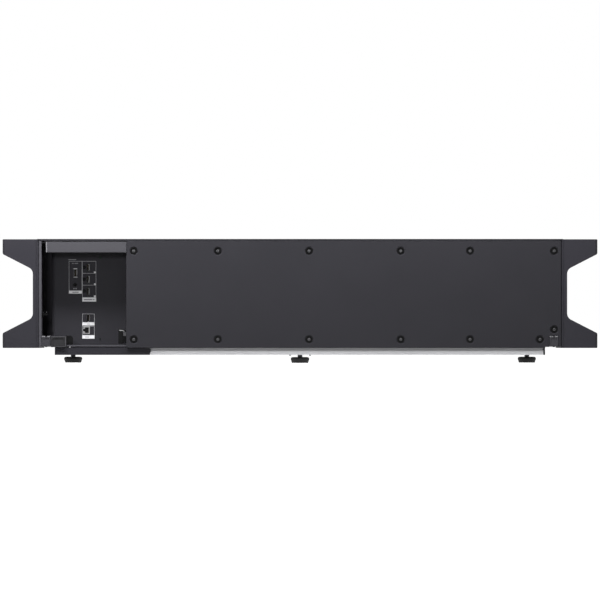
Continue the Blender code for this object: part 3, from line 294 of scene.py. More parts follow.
def circuitBoard():
    # solder resist over copper runs, with plated holes on a grid
    finish = Finish("circuitBoard", Specular_IOR_Level=0.5)
    runs = finish.place.make(
        "TexBrick",
        {"offset": 0.5, "squash": 1.0},
        {"Vector": finish.place, "Scale": 110, "Mortar Size": 0.035, "Brick Width": 0.9, "Row Height": 0.22},
        1,
    )
    patches = finish.place.noise(45, detail=1).ramp((0.46, 0), (0.50, 1))
    board = (runs * patches).blend((0.006, 0.050, 0.020), (0.016, 0.120, 0.045))
    holes = finish.place.cells(210) < 0.16
    finish.put("Base Color", (holes * 0.8).blend(board, (0.45, 0.36, 0.16)))
    finish.put("Roughness", 0.28 + runs * 0.10)
    finish.bump(runs * patches, 0.00006, 0.6)
    return finish.material


def opticGlass(name, tone, alpha):
    # coated glass: alpha stays high enough for its reflections to read
    finish = Finish(name, roughness=0.03, Coat_Weight=1.0, Coat_Roughness=0.02, Specular_IOR_Level=0.7)
    film = finish.place.noise(12, detail=2)
    finish.put("Base Color", film.blend(tone, tuple(part * 1.35 for part in tone)))
    finish.put("Alpha", alpha)
    finish.material.surface_render_method = "BLENDED"
    return finish.material


def mirrorCoat():
    finish = Finish("mirrorCoat", metallic=1.0)
    haze = finish.place.noise(40, detail=3).ramp((0.55, 0), (0.85, 1))
    finish.put("Base Color", haze.blend((0.86, 0.87, 0.89), (0.80, 0.81, 0.83)))
    finish.put("Roughness", 0.015 + haze * 0.05)
    return finish.material


def printInk(name, tone):
    finish = Finish(name, Specular_IOR_Level=0.3)
    cover = finish.place.noise(1500, detail=2)
    finish.put("Base Color", cover.blend(tuple(part * 0.88 for part in tone), tone))
    finish.put("Roughness", 0.55 + cover * 0.15)
    return finish.material


def darkAcrylic():
    finish = Finish("darkAcrylic", Coat_Weight=1.0, Coat_Roughness=0.03)
    depth = finish.place.noise(30, detail=1)
    finish.put("Base Color", depth.blend((0.010, 0.003, 0.004), (0.020, 0.006, 0.008)))
    finish.put("Roughness", 0.08 + depth * 0.05)
    return finish.material


def statusLight():
    finish = Finish("statusLight", roughness=0.3, Emission_Strength=0.6)
    glow = finish.place.noise(300, detail=1)
    finish.put("Base Color", glow.blend((0.35, 0.42, 0.36), (0.55, 0.62, 0.55)))
    finish.put("Emission Color", glow.blend((0.10, 0.60, 0.25), (0.20, 0.80, 0.40)))
    return finish.material


def goldContact():
    finish = Finish("goldContact", metallic=1.0)
    wear = finish.place.noise(1800, detail=2)
    finish.put("Base Color", wear.blend((0.30, 0.22, 0.10), (0.42, 0.32, 0.16)))
    finish.put("Roughness", 0.22 + wear * 0.12)
    return finish.material


darkCoat = powderCoat("darkCoat")
litPanelCoat = powderCoat("litPanelCoat")
litHousingCoat = powderCoat("litHousingCoat")
headerCoat = powderCoat("headerCoat")
baseCoat = powderCoat("baseCoat")
litWallCoat = powderCoat("litWallCoat")
edgeHighlightCoat = powderCoat("edgeHighlightCoat")
trimHighlightCoat = powderCoat("trimHighlightCoat")
litBracketCoat = powderCoat("litBracketCoat")
guideHighlightCoat = powderCoat("guideHighlightCoat")
frameFinish = anodisedFrame()
# the rail's top carries painted shade from the cover above
railFinish = brushedAluminium("railAluminium", (0.66, 0.66, 0.68), paintedShadeBand=(0.0215, 0.0315))
fasciaFinish = brushedAluminium("fasciaAluminium", (0.50, 0.50, 0.51), roughness=0.30)
sinkFinish = brushedAluminium("sinkAluminium", (0.60, 0.60, 0.61), (1, 1, 0.02), 0.34)
blackPlastic = moulded("blackPlastic", (0.0105, 0.0105, 0.0115))
satinPlastic = moulded("satinPlastic", (0.0200, 0.0198, 0.0215), 0.42, 1800)
portPlastic = moulded("portPlastic", (0.0060, 0.0060, 0.0065), 0.40, 2400)
zinc = zincPlate()
wireSteel = zincPlate("wireSteel", (0.86, 0.86, 0.87))
nickelPlate = nickel()
screwBlack = blackScrew()
lipMetal = zincPlate("lipMetal", (0.70, 0.70, 0.71))
lipDull = zincPlate("lipDull", (0.56, 0.56, 0.57))
lipBright = printInk("lipBright", (0.62, 0.62, 0.63))
screwGrey = moulded("screwGrey", (0.060, 0.060, 0.063), 0.50)
cupRubber = moulded("cupRubber", (0.0035, 0.0035, 0.0038), 0.62)
portShell = zincPlate("portShell", (0.060, 0.060, 0.064))
rubber = rubberFoot()
cast = castMetal()
board = circuitBoard()
windowCoating = opticGlass("windowCoating", (0.020, 0.024, 0.034), 0.34)
lensCoating = opticGlass("lensCoating", (0.030, 0.018, 0.060), 0.55)
mirrorFinish = mirrorCoat()
whiteInk = printInk("whiteInk", (0.84, 0.84, 0.86))
lineInk = printInk("lineInk", (0.42, 0.42, 0.44))
greyInk = printInk("greyInk", (0.22, 0.22, 0.23))
acrylic = darkAcrylic()
statusGlow = statusLight()
gold = goldContact()
print("finishes made:", len(bpy.data.materials))

# Modelling helpers


def addBox(bm, low, high, radius=0.0, segments=3):
    low, high = Vector(low), Vector(high)
    where = Matrix.Translation((low + high) / 2) @ Matrix.Diagonal((*(high - low), 1))
    verts = bmesh.ops.create_cube(bm, size=1, matrix=where)["verts"]
    if radius:
        roundOff(bm, {edge for vert in verts for edge in vert.link_edges}, radius, segments)


def roundOff(bm, edges, radius, segments=3):
    bmesh.ops.bevel(
        bm, geom=list(edges), offset=radius, offset_type="OFFSET", segments=segments,
        profile=0.5, affect="EDGES", clamp_overlap=True, material=-1,
    )


def arcs(corners, perArc=8):
    # an outline from (u, v, fillet) corners, its round stretches as arcs
    outline = []
    for index, (u, v, fillet) in enumerate(corners):
        here = Vector((u, v))
        if not fillet:
            outline.append(tuple(here))
            continue
        back = (Vector(corners[index - 1][:2]) - here).normalized()
        ahead = (Vector(corners[(index + 1) % len(corners)][:2]) - here).normalized()
        half = back.angle(ahead) / 2
        centre = here + (back + ahead).normalized() * (fillet / math.sin(half))
        start = here + back * (fillet / math.tan(half)) - centre
        end = here + ahead * (fillet / math.tan(half)) - centre
        sweep = start.angle_signed(end)
        for step in range(perArc + 1):
            arm = start.copy()
            arm.rotate(Matrix.Rotation(-sweep * step / perArc, 2))
            outline.append(tuple(centre + arm))
    return outline


def roundedBox(low, high, fillet, perArc=6):
    return arcs([(low[0], low[1], fillet), (high[0], low[1], fillet), (high[0], high[1], fillet),
                 (low[0], high[1], fillet)], perArc)


liftFrom = {  # an outline's (u, v), and w across its plane
    "XZ": lambda u, v, w: (u, w, v),
    "YZ": lambda u, v, w: (w, u, v),
    "XY": lambda u, v, w: (u, v, w),
}


def addPrism(bm, outline, plane, low, high, radius=0.0, segments=2):
    lift = liftFrom[plane]
    verts = [bm.verts.new(lift(u, v, low)) for u, v in outline]
    face = bm.faces.new(verts)
    made = bmesh.ops.extrude_face_region(bm, geom=[face])["geom"]
    ends = [item for item in made if isinstance(item, bmesh.types.BMVert)]
    bmesh.ops.translate(bm, verts=ends, vec=Vector(lift(0, 0, high - low)))
    faces = {face for vert in verts + ends for face in vert.link_faces}
    bmesh.ops.recalc_face_normals(bm, faces=list(faces))
    if radius:
        caps = [face for face in faces if len(face.verts) == len(outline)]
        if len(outline) == 4:
            caps = [face for face in faces if abs(face.normal.dot(Vector(lift(0, 0, 1)))) > 0.9]
        roundOff(bm, {edge for cap in caps for edge in cap.edges}, radius, segments)


turnTo = {
    "X": Matrix.Rotation(math.pi / 2, 4, "Y"),
    "Y": Matrix.Rotation(-math.pi / 2, 4, "X"),
    "Z": Matrix.Identity(4),
    "-X": Matrix.Rotation(-math.pi / 2, 4, "Y"),
    "-Y": Matrix.Rotation(math.pi / 2, 4, "X"),
    "-Z": Matrix.Rotation(math.pi, 4, "X"),
}


def addTurned(bm, profile, centre, axis="Z", steps=40, closed=False):
    # (radius, height) points spun about the axis: a chain from axis to axis, or a closed ring
    before = set(bm.verts)
    verts = [bm.verts.new((radius, 0, height)) for radius, height in profile]
    pairs = list(zip(verts, verts[1:])) + ([(verts[-1], verts[0])] if closed else [])
    edges = [bm.edges.new(pair) for pair in pairs]
    bmesh.ops.spin(
        bm, geom=verts + edges, cent=(0, 0, 0), axis=(0, 0, 1), dvec=(0, 0, 0),
        angle=2 * math.pi, steps=steps, use_merge=True, use_duplicate=False,
    )
    made = [vert for vert in bm.verts if vert not in before]
    bmesh.ops.remove_doubles(bm, verts=made, dist=1e-6)
    made = [vert for vert in bm.verts if vert not in before]
    faces = {face for vert in made for face in vert.link_faces}
    bmesh.ops.recalc_face_normals(bm, faces=list(faces))
    bmesh.ops.transform(bm, verts=made, matrix=Matrix.Translation(centre) @ turnTo[axis])
    return made


def rod(radius, low, high, edge=0.0):
    # profile of a rod with a small rounded edge at its high end
    if not edge:
        return [(0, low), (radius, low), (radius, high), (0, high)]
    bend = [(radius - edge + edge * math.sin(a), high - edge + edge * math.cos(a))
            for a in (math.pi / 2, math.pi / 3, math.pi / 6, 0)]
    return [(0, low), (radius, low), *bend, (0, high)]


def looseObject(bm, name):
    mesh = bpy.data.meshes.new(name)
    bm.to_mesh(mesh)
    bm.free()
    piece = bpy.data.objects.new(name, mesh)
    bpy.context.scene.collection.objects.link(piece)
    return piece


def applyAll(piece):
    bpy.context.view_layer.update()
    graph = bpy.context.evaluated_depsgraph_get()
    mesh = bpy.data.meshes.new_from_object(piece.evaluated_get(graph))
    piece.modifiers.clear()
    old, piece.data = piece.data, mesh
    mesh.name = piece.name
    bpy.data.meshes.remove(old)


def carve(piece, cutterMesh, operation="DIFFERENCE"):
    cutter = looseObject(cutterMesh, "cutter")
    hole = piece.modifiers.new("cut", "BOOLEAN")
    hole.object = cutter
    hole.operation = operation
    hole.solver = "EXACT"
    applyAll(piece)
    bpy.data.objects.remove(cutter)
    return piece


def finishPiece(piece, material, body=cabinet, replaces=(), sharp=38):
    piece.data.materials.clear()
    piece.data.materials.append(material)
    piece.data.shade_smooth()
    piece.data.set_sharp_from_angle(angle=math.radians(sharp))
    even = piece.modifiers.new("even", "WEIGHTED_NORMAL")
    even.keep_sharp = True
    applyAll(piece)
    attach(piece, body)
    if replaces:
        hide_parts(*replaces)
    return piece


def wirePiece(name, path, radius, sides=3):
    # a bent wire as a mesh with closed ends
    curve = bpy.data.curves.new(name, "CURVE")
    curve.dimensions = "3D"
    curve.bevel_depth = radius
    curve.bevel_resolution = sides
    curve.use_fill_caps = True
    spline = curve.splines.new("POLY")
    spline.points.add(len(path) - 1)
    for point, spot in zip(spline.points, path):
        point.co = (*spot, 1)
    drawn = bpy.data.objects.new(name + "Curve", curve)
    bpy.context.scene.collection.objects.link(drawn)
    bpy.context.view_layer.update()
    graph = bpy.context.evaluated_depsgraph_get()
    mesh = bpy.data.meshes.new_from_object(drawn.evaluated_get(graph))
    bpy.data.objects.remove(drawn)
    bm = bmesh.new()
    bm.from_mesh(mesh)
    bmesh.ops.remove_doubles(bm, verts=bm.verts, dist=1e-6)
    bmesh.ops.recalc_face_normals(bm, faces=bm.faces)
    return looseObject(bm, name)


def bentPath(points, fillet, perArc=5):
    # the points joined by straight runs, with each inner corner rounded
    path = [Vector(points[0])]
    for index in range(1, len(points) - 1):
        here = Vector(points[index])
        back = (Vector(points[index - 1]) - here).normalized()
        ahead = (Vector(points[index + 1]) - here).normalized()
        start, end = here + back * fillet, here + ahead * fillet
        for step in range(perArc + 1):
            t = step / perArc
            path.append(start.lerp(here, t).lerp(here.lerp(end, t), t))
    path.append(Vector(points[-1]))
    return path


def middle(node):
    low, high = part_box(node)
    return (low + high) / 2


# Screws: heads with a socket, sunk in dimples or standing on a face

screwHead = {"socketDepth": 0.55, "steps": 32}


def addScrew(bm, centre, axis, radius, height, socket=0.48):
    # a domed head with a six-sided socket, its base at centre and its top along axis
    crown = height * 0.35
    profile = [(0, 0), (radius, 0), (radius, height - crown)]
    profile += [(radius * math.cos(a) ** 0.6 if a else radius, height - crown + crown * math.sin(a))
                for a in (0.4, 0.8, 1.15)]
    inner = radius * socket
    depth = height * (1 - screwHead["socketDepth"])
    profile += [(inner, height), (inner * 0.97, depth), (0, depth)]
    made = addTurned(bm, profile, (0, 0, 0), "Z", screwHead["steps"])
    for vert in made:
        reach = math.hypot(vert.co.x, vert.co.y)
        if inner * 0.9 < reach < inner * 1.02:
            # the socket's round wall pulled in to six flats
            turn = math.atan2(vert.co.y, vert.co.x) % (math.pi / 3) - math.pi / 6
            scale = math.cos(math.pi / 6) / math.cos(turn)
            vert.co.x *= scale
            vert.co.y *= scale
    bmesh.ops.transform(bm, verts=made, matrix=Matrix.Translation(centre) @ turnTo[axis])


# Side frames

sideFrame = {
    "drop": 1.0 * mm, "lip": 31.0 * mm, "slope": 27.2, "notchFillet": 15 * mm, "lipFillet": 5 * mm, "cornerFillet": 2 * mm,
    "endRound": 6 * mm, "endEdge": 0.8 * mm, "ventGap": 0.3 * mm, "web": 12.6 * mm, "buttonGap": 0.4 * mm,
    "screwInset": 26 * mm, "screwSpread": 30 * mm,
}


def makeSideFrame(name, node, side, grille, buttons):
    low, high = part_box(node)
    inner, outer = (high.x, low.x) if side < 0 else (low.x, high.x)
    low.z -= sideFrame["drop"]
    web = inner + side * sideFrame["web"]
    root = sideFrame["lip"] + abs(outer - web) * math.tan(math.radians(sideFrame["slope"]))
    bottom, top = low.z, high.z
    outline = arcs([
        (inner, bottom, 0),
        (outer, bottom, sideFrame["cornerFillet"]),
        (outer, bottom + sideFrame["lip"], sideFrame["lipFillet"]),
        (web, bottom + root, sideFrame["notchFillet"]),
        (web, top - root, sideFrame["notchFillet"]),
        (outer, top - sideFrame["lip"], sideFrame["lipFillet"]),
        (outer, top, sideFrame["cornerFillet"]),
        (inner, top, 0),
    ], 10)
    bm = bmesh.new()
    addPrism(bm, outline, "XZ", low.y, high.y, sideFrame["endEdge"], 3)
    piece = looseObject(bm, name)
    plan = bmesh.new()  # rounds the outer ends as seen from above
    far, end = outer + side * 0.1 * mm, sideFrame["endRound"]
    corners = [(inner - side * mm, low.y - mm, 0), (far - side * 7 * mm, low.y - mm, 0), (far - side * 7 * mm, low.y - 0.1 * mm, 0),
               (far, low.y - 0.1 * mm, end), (far, high.y + 0.1 * mm, end), (far - side * 7 * mm, high.y + 0.1 * mm, 0),
               (far - side * 7 * mm, high.y + mm, 0), (inner - side * mm, high.y + mm, 0)]
    addPrism(plan, arcs(corners, 8), "XY", bottom - 5 * mm, top + 5 * mm)
    carve(piece, plan, "INTERSECT")
    cutters = bmesh.new()
    ventLow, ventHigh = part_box(grille)
    gap = sideFrame["ventGap"]
    vent = roundedBox((ventLow.y - gap, ventLow.z - gap), (ventHigh.y + gap, ventHigh.z + gap), 2.4 * mm)
    addPrism(cutters, vent, "YZ", min(inner, web) - 4 * mm, max(inner, web) + 4 * mm)
    for button in buttons:
        spot = middle(button)
        radius = (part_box(button)[1].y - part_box(button)[0].y) / 2 + sideFrame["buttonGap"]
        bore = [(0, -20 * mm), (radius, -20 * mm), (radius, -0.8 * mm), (radius + 1.6 * mm, 0.8 * mm), (0, 0.8 * mm)]
        addTurned(cutters, bore, (web, spot.y, spot.z), "X" if side > 0 else "-X")
    for y in (low.y, high.y):
        # the joint with the side wall, and a drawn line beside it
        for offset, half, deep in ((0.8, 1.1, 3.5), (5.5, 0.4, 2.2)):
            x = inner + side * offset * mm
            addBox(cutters, (x - half * mm, y - deep * mm, bottom - 5 * mm), (x + half * mm, y + deep * mm, top + 5 * mm))
    for y, z in frameScrewPlaces(low, high):
        seat = [(0, -2.2 * mm), (6.2 * mm, -2.2 * mm), (7.4 * mm, 1 * mm), (0, 1 * mm)]
        addTurned(cutters, seat, (web, y, z), "X" if side > 0 else "-X")
    carve(piece, cutters)
    finishPiece(piece, frameFinish, replaces=(node,))
    screws = bmesh.new()
    for y, z in frameScrewPlaces(low, high):
        addScrew(screws, (web - side * 2.15 * mm, y, z), "X" if side > 0 else "-X", 4.6 * mm, 2.6 * mm)
    finishPiece(looseObject(screws, name + "Screws"), screwBlack)


def frameScrewPlaces(low, high):
    inset, spread = sideFrame["screwInset"], sideFrame["screwSpread"]
    centre = (low.z + high.z) / 2
    return [(y, centre + up * spread) for y in (low.y + inset, high.y - inset) for up in (-1, 1)]


buttonNames = ["power_button", "input_button", "menu_button"]
makeSideFrame("sideFrameLeft", "side_frame_left", -1, "intake_grille", [])
makeSideFrame("sideFrameRight", "side_frame_right", 1, "exhaust_grille", buttonNames)
print("side frames made")

# Grilles: rounded louvres in a thin plate

grille = {"border": 6 * mm, "slot": 4.2 * mm, "pitch": 8.4 * mm, "edge": 0.6 * mm}


def makeGrille(name, node, side):
    low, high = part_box(node)
    bm = bmesh.new()
    addPrism(bm, roundedBox((low.y, low.z), (high.y, high.z), 2.1 * mm), "YZ", low.x, high.x, grille["edge"])
    piece = looseObject(bm, name)
    cutters = bmesh.new()
    count = int((high.y - low.y - 2 * grille["border"] - grille["slot"]) / grille["pitch"]) + 1
    start = (low.y + high.y) / 2 - grille["pitch"] * (count - 1) / 2
    half = grille["slot"] / 2
    for index in range(count):
        y = start + index * grille["pitch"]
        slot = roundedBox((y - half, low.z + grille["border"]), (y + half, high.z - grille["border"]), half * 0.98)
        addPrism(cutters, slot, "YZ", low.x - 2 * mm, high.x + 2 * mm)
    carve(piece, cutters)
    finishPiece(piece, blackPlastic, replaces=(node,))
    louvres = bmesh.new()
    back = low.x - 3.2 * mm if side > 0 else high.x + 3.2 * mm
    for index in range(count - 1):
        # a leaning blade behind each bar
        y = start + (index + 0.5) * grille["pitch"]
        lean = Matrix.Translation((back, y, (low.z + high.z) / 2)) @ Matrix.Rotation(math.radians(28), 4, "Z")
        size = Matrix.Diagonal((5.2 * mm, 1.1 * mm, high.z - low.z - 2 * grille["border"], 1))
        blade = bmesh.ops.create_cube(louvres, size=1, matrix=lean @ size)["verts"]
        roundOff(louvres, {edge for vert in blade for edge in vert.link_edges}, 0.25 * mm, 1)
    finishPiece(looseObject(louvres, name + "Louvres"), blackPlastic)


makeGrille("intakeGrille", "intake_grille", -1)
makeGrille("exhaustGrille", "exhaust_grille", 1)
print("grilles made")

# Fans

fan = {"bore": 43.5 * mm, "hub": 17 * mm, "blades": 7, "tip": 41.3 * mm, "sweep": 0.55, "skin": 1.3 * mm}


def makeFanFrame(name, node):
    low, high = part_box(node)
    centre = (low + high) / 2
    half = (high.y - low.y) / 2
    bm = bmesh.new()
    addPrism(bm, roundedBox((-half, -half), (half, half), 6 * mm), "YZ", low.x, high.x, 0.8 * mm)
    bmesh.ops.translate(bm, verts=bm.verts, vec=(0, centre.y, centre.z))
    piece = looseObject(bm, name)
    cutters = bmesh.new()
    mouth = [(0, -14 * mm), (fan["bore"] + 1.4 * mm, -14 * mm), (fan["bore"] + 1.2 * mm, -12 * mm), (fan["bore"], -9 * mm),
             (fan["bore"], 9 * mm), (fan["bore"] + 1.2 * mm, 12 * mm), (fan["bore"] + 1.4 * mm, 14 * mm), (0, 14 * mm)]
    addTurned(cutters, mouth, centre, "X", 64)
    for across in (-1, 1):
        for up in (-1, 1):
            spot = centre + Vector((0, across * (half - 5 * mm), up * (half - 5 * mm)))
            addTurned(cutters, rod(2.1 * mm, -14 * mm, 14 * mm), spot, "X", 20)
    carve(piece, cutters)
    struts = bmesh.new()
    base = low.x + 0.2 * mm
    for turn in range(4):
        arm = Matrix.Translation(centre) @ Matrix.Rotation(math.pi / 2 * turn + 0.2, 4, "X")
        shape = Matrix.Translation((base - centre.x + 1.5 * mm, 0, 30.2 * mm)) @ Matrix.Diagonal((3 * mm, 3.4 * mm, 28.5 * mm, 1))
        blade = bmesh.ops.create_cube(struts, size=1, matrix=arm @ shape)["verts"]
        roundOff(struts, {edge for vert in blade for edge in vert.link_edges}, 0.5 * mm, 2)
    motor = [(0, 0), (16 * mm, 0), (16 * mm, 3 * mm), (15.2 * mm, 3.6 * mm), (0, 3.6 * mm)]
    addTurned(struts, motor, (base, centre.y, centre.z), "X", 40)
    finishPiece(piece, blackPlastic, replaces=(node,))
    finishPiece(looseObject(struts, name + "Struts"), blackPlastic)


def makeFanRotor(name, node):
    low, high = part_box(node)
    centre = middle(node.replace("_rotor", "_frame"))
    hubLow, hubHigh = low.x + 0.2 * mm - centre.x, high.x - centre.x
    bm = bmesh.new()
    wall = fan["hub"]
    profile = [(0, hubLow), (wall, hubLow), (wall, hubHigh - 2 * mm), (wall - 0.6 * mm, hubHigh - 0.7 * mm),
               (wall - 2 * mm, hubHigh), (6 * mm, hubHigh), (5 * mm, hubHigh - 0.5 * mm), (0, hubHigh - 0.5 * mm)]
    addTurned(bm, profile, (0, 0, 0), "Z", 48)
    rise = (hubHigh - hubLow) * 0.42
    for index in range(fan["blades"]):
        sheet = bmesh.new()
        bmesh.ops.create_grid(sheet, x_segments=10, y_segments=8, size=0.5)
        for vert in sheet.verts:
            along, across = vert.co.x + 0.5, vert.co.y
            reach = wall - 1 * mm + (fan["tip"] - wall + 1 * mm) * along
            turn = 2 * math.pi * index / fan["blades"] + across * (0.74 - 0.18 * along) + fan["sweep"] * along * along
            lift = (hubLow + hubHigh) / 2 + across * 2 * rise * (1 - 0.22 * along)
            vert.co = (reach * math.cos(turn), reach * math.sin(turn), lift)
        bmesh.ops.solidify(sheet, geom=sheet.faces[:], thickness=fan["skin"])
        bmesh.ops.recalc_face_normals(sheet, faces=sheet.faces)
        mesh = bpy.data.meshes.new("blade")
        sheet.to_mesh(mesh)
        sheet.free()
        bm.from_mesh(mesh)
        bpy.data.meshes.remove(mesh)
    bmesh.ops.transform(bm, verts=bm.verts, matrix=Matrix.Translation(centre) @ turnTo["X"])
    finishPiece(looseObject(bm, name), satinPlastic, body=node, replaces=(node,))


for air in ("intake", "exhaust"):
    for where in ("rear", "front"):
        makeFanFrame(f"{air}Fan{where.title()}Frame", f"{air}_fan_{where}_frame")
        makeFanRotor(f"{air}Fan{where.title()}Rotor", f"{air}_fan_{where}_rotor")
print("fans made")

# Top panel and projection window

topPanel = {"edge": 0.7 * mm, "lap": 0.3 * mm}
windowSet = {"corner": 5 * mm, "bezelLip": 0.5 * mm}


def makeTopPanel():
    low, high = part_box("top_panel")
    bezelLow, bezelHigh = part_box("window_bezel")
    grow = 9 * mm  # the bezel's flange reaches this far beyond the aperture
    bm = bmesh.new()
    addBox(bm, low, high, topPanel["edge"], 3)
    piece = looseObject(bm, "topPanel")
    cutters = bmesh.new()
    hole = roundedBox((bezelLow.x + grow, bezelLow.y + grow), (bezelHigh.x - grow, bezelHigh.y - grow), windowSet["corner"])
    addPrism(cutters, hole, "XY", low.z - 5 * mm, high.z + 5 * mm)
    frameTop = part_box("side_frame_left")[1].z
    for side in (-1, 1):
        # thinned where it laps the side frame's flange
        edge = side * (abs(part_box("side_frame_left")[1].x) - 0.2 * mm)
        far = side * (high.x + 5 * mm)
        addBox(cutters, (min(edge, far), low.y - 5 * mm, low.z - 5 * mm),
               (max(edge, far), high.y + 5 * mm, frameTop + topPanel["lap"]))
    carve(piece, cutters)
    finishPiece(piece, darkCoat, replaces=("top_panel",))
    hem = bmesh.new()  # a folded edge down to the cover's top
    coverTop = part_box("rear_cover")[1].z + 0.25 * mm
    addBox(hem, (-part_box("side_wall_right")[1].x + mm, low.y + 0.5 * mm, coverTop),
           (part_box("side_wall_right")[1].x - mm, low.y + 2 * mm, low.z - 0.02 * mm), 0.15 * mm, 1)
    finishPiece(looseObject(hem, "topPanelHem"), darkCoat)


def makeWindow():
    low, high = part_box("window_bezel")
    glassLow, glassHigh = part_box("window_glass")
    bm = bmesh.new()
    addPrism(bm, roundedBox((low.x, low.y), (high.x, high.y), 8 * mm), "XY", low.z, low.z + 8 * mm, 0.6 * mm)
    flange = looseObject(bm, "windowBezel")
    grow = 9.5 * mm
    collar = bmesh.new()
    rim = roundedBox((low.x + grow, low.y + grow), (high.x - grow, high.y - grow), windowSet["corner"])
    addPrism(collar, rim, "XY", low.z + 6 * mm, high.z, 0.5 * mm)
    carve(flange, collar, "UNION")
    cutters = bmesh.new()
    gap = 0.3 * mm
    seat = roundedBox((glassLow.x - gap, glassLow.y - gap), (glassHigh.x + gap, glassHigh.y + gap), 3 * mm)
    addPrism(cutters, seat, "XY", glassLow.z - gap, high.z + 8 * mm)
    carve(flange, cutters)
    cutters = bmesh.new()
    inset = 5 * mm
    light = roundedBox((glassLow.x + inset, glassLow.y + inset), (glassHigh.x - inset, glassHigh.y - inset), 3 * mm)
    addPrism(cutters, light, "XY", low.z - 20 * mm, high.z + 20 * mm)
    carve(flange, cutters)
    finishPiece(flange, satinPlastic, replaces=("window_bezel",))
    bm = bmesh.new()
    pane = roundedBox((glassLow.x, glassLow.y), (glassHigh.x, glassHigh.y), 2.8 * mm)
    addPrism(bm, pane, "XY", glassLow.z, glassHigh.z, 0.4 * mm)
    finishPiece(looseObject(bm, "windowGlass"), windowCoating, replaces=("window_glass",))


def makeShroud():
    # black walls that keep stray light off the rest of the inside
    low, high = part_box("window_bezel")
    skin, front = 1.5 * mm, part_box("mirror_mount")[1].y + 6 * mm
    floor, lid = 76 * mm, low.z - 0.4 * mm
    bm = bmesh.new()
    for side in (-1, 1):
        x = side * (high.x - 3 * mm)
        addBox(bm, (x - skin / 2, low.y + 2 * mm, floor), (x + skin / 2, front, lid), 0.3 * mm, 1)
        for step in range(9):
            # ribs that break up glancing light
            z = floor + 12 * mm + step * 17 * mm
            inward = x - side * 3 * mm
            addBox(bm, (min(x, inward), low.y + 4 * mm, z), (max(x, inward), front - 2 * mm, z + 1.4 * mm), 0.2 * mm, 1)
    addBox(bm, (low.x + 3 * mm, front - skin, floor), (high.x - 3 * mm, front, lid), 0.3 * mm, 1)
    addBox(bm, (low.x + 3 * mm, high.y + 1 * mm, lid - skin), (high.x - 3 * mm, front, lid), 0.3 * mm, 1)
    finishPiece(looseObject(bm, "lightShroud"), blackPlastic)


makeTopPanel()
makeWindow()
makeShroud()
print("top panel and window made")

# Rear cover and its screws

rearCover = {
    "drop": 0.8 * mm, "edge": 0.6 * mm, "dimple": 9.6 * mm, "bore": 8.0 * mm, "dimpleDepth": 3.6 * mm, "rim": 1.3 * mm,
    "screwTop": 18.3 * mm, "screwBottom": 17.4 * mm, "head": 3.1 * mm, "headHeight": 2.3 * mm,
    "leftInset": 14.7 * mm, "rightInset": 14.2 * mm, "shares": (0, 0.2, 0.417, 0.635, 0.8),
    "cornerStep": 29.8 * mm, "cornerLift": 21 * mm, "stepRise": 1.8 * mm,
}


def coverScrewPlaces():
    low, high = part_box("rear_cover")
    belly = low.z - rearCover["drop"] - 0.3 * mm
    upper, lower = high.z - rearCover["screwTop"] - 2.4 * mm, belly + rearCover["screwBottom"]
    left, right = low.x + rearCover["leftInset"], high.x - rearCover["rightInset"]
    places = [(left + share * (right - left), z) for share in rearCover["shares"] for z in (lower, upper)]
    places += [(right, upper), (right - rearCover["cornerStep"], lower), (right, lower + rearCover["cornerLift"])]
    return places


def makeRearCover():
    low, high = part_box("rear_cover")
    low.z -= rearCover["drop"]
    bm = bmesh.new()
    addBox(bm, low, high, rearCover["edge"], 3)
    piece = looseObject(bm, "rearCover")
    cutters = bmesh.new()
    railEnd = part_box("base_rail_rear")[1].x
    addBox(cutters, (railEnd, low.y - 5 * mm, low.z - 5 * mm), (high.x + 5 * mm, high.y + 5 * mm, low.z + rearCover["stepRise"]))
    carve(piece, cutters)
    cutters = bmesh.new()
    bracketLow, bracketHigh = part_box("cabinet_bracket_right")
    addBox(cutters, (bracketLow.x - 0.7 * mm, low.y - 5 * mm, low.z - 5 * mm),
           (bracketHigh.x + 0.3 * mm, high.y + 5 * mm, bracketHigh.z + 0.5 * mm))
    depth = rearCover["dimpleDepth"]
    for x, z in coverScrewPlaces():
        # a broad chamfer, then a straight wall down to a flat floor, cut from the rear
        lip, bore, rim = rearCover["dimple"], rearCover["bore"], rearCover["rim"]
        bowl = [(0, -depth), (bore, -depth), (bore, -rim), (lip, 0), (lip, 1 * mm), (0, 1 * mm)]
        addTurned(cutters, bowl, (x, low.y, z), "-Y", 48)
    carve(piece, cutters)
    finishPiece(piece, darkCoat, replaces=("rear_cover",))
    for number, (x, z) in enumerate(coverScrewPlaces(), 1):
        bm = bmesh.new()
        addScrew(bm, (x, low.y + depth - 0.1 * mm, z), "-Y", rearCover["head"], rearCover["headHeight"])
        finishPiece(looseObject(bm, f"coverScrew{number:02d}"), screwGrey)
        cup = bmesh.new()  # the black sealing cup round the head
        outer = rearCover["bore"] - 0.1 * mm
        inner = rearCover["head"] + 0.2 * mm
        wall = [(inner, 0), (outer, 0), (outer, depth - rearCover["rim"]), (outer - 0.7 * mm, depth - rearCover["rim"] - 0.2 * mm),
                (outer - 1.1 * mm, 0.5 * mm), (inner, 0.5 * mm)]
        addTurned(cup, wall, (x, low.y + depth - 0.05 * mm, z), "-Y", 40, closed=True)
        finishPiece(looseObject(cup, f"coverCup{number:02d}"), cupRubber)


makeRearCover()
print("rear cover made")

# Front panel: brushed fascia with a receiver window and a status light

frontPanel = {"edge": 1.5 * mm, "groove": (38 * mm, 40.5 * mm), "grooveDepth": 1.5 * mm}


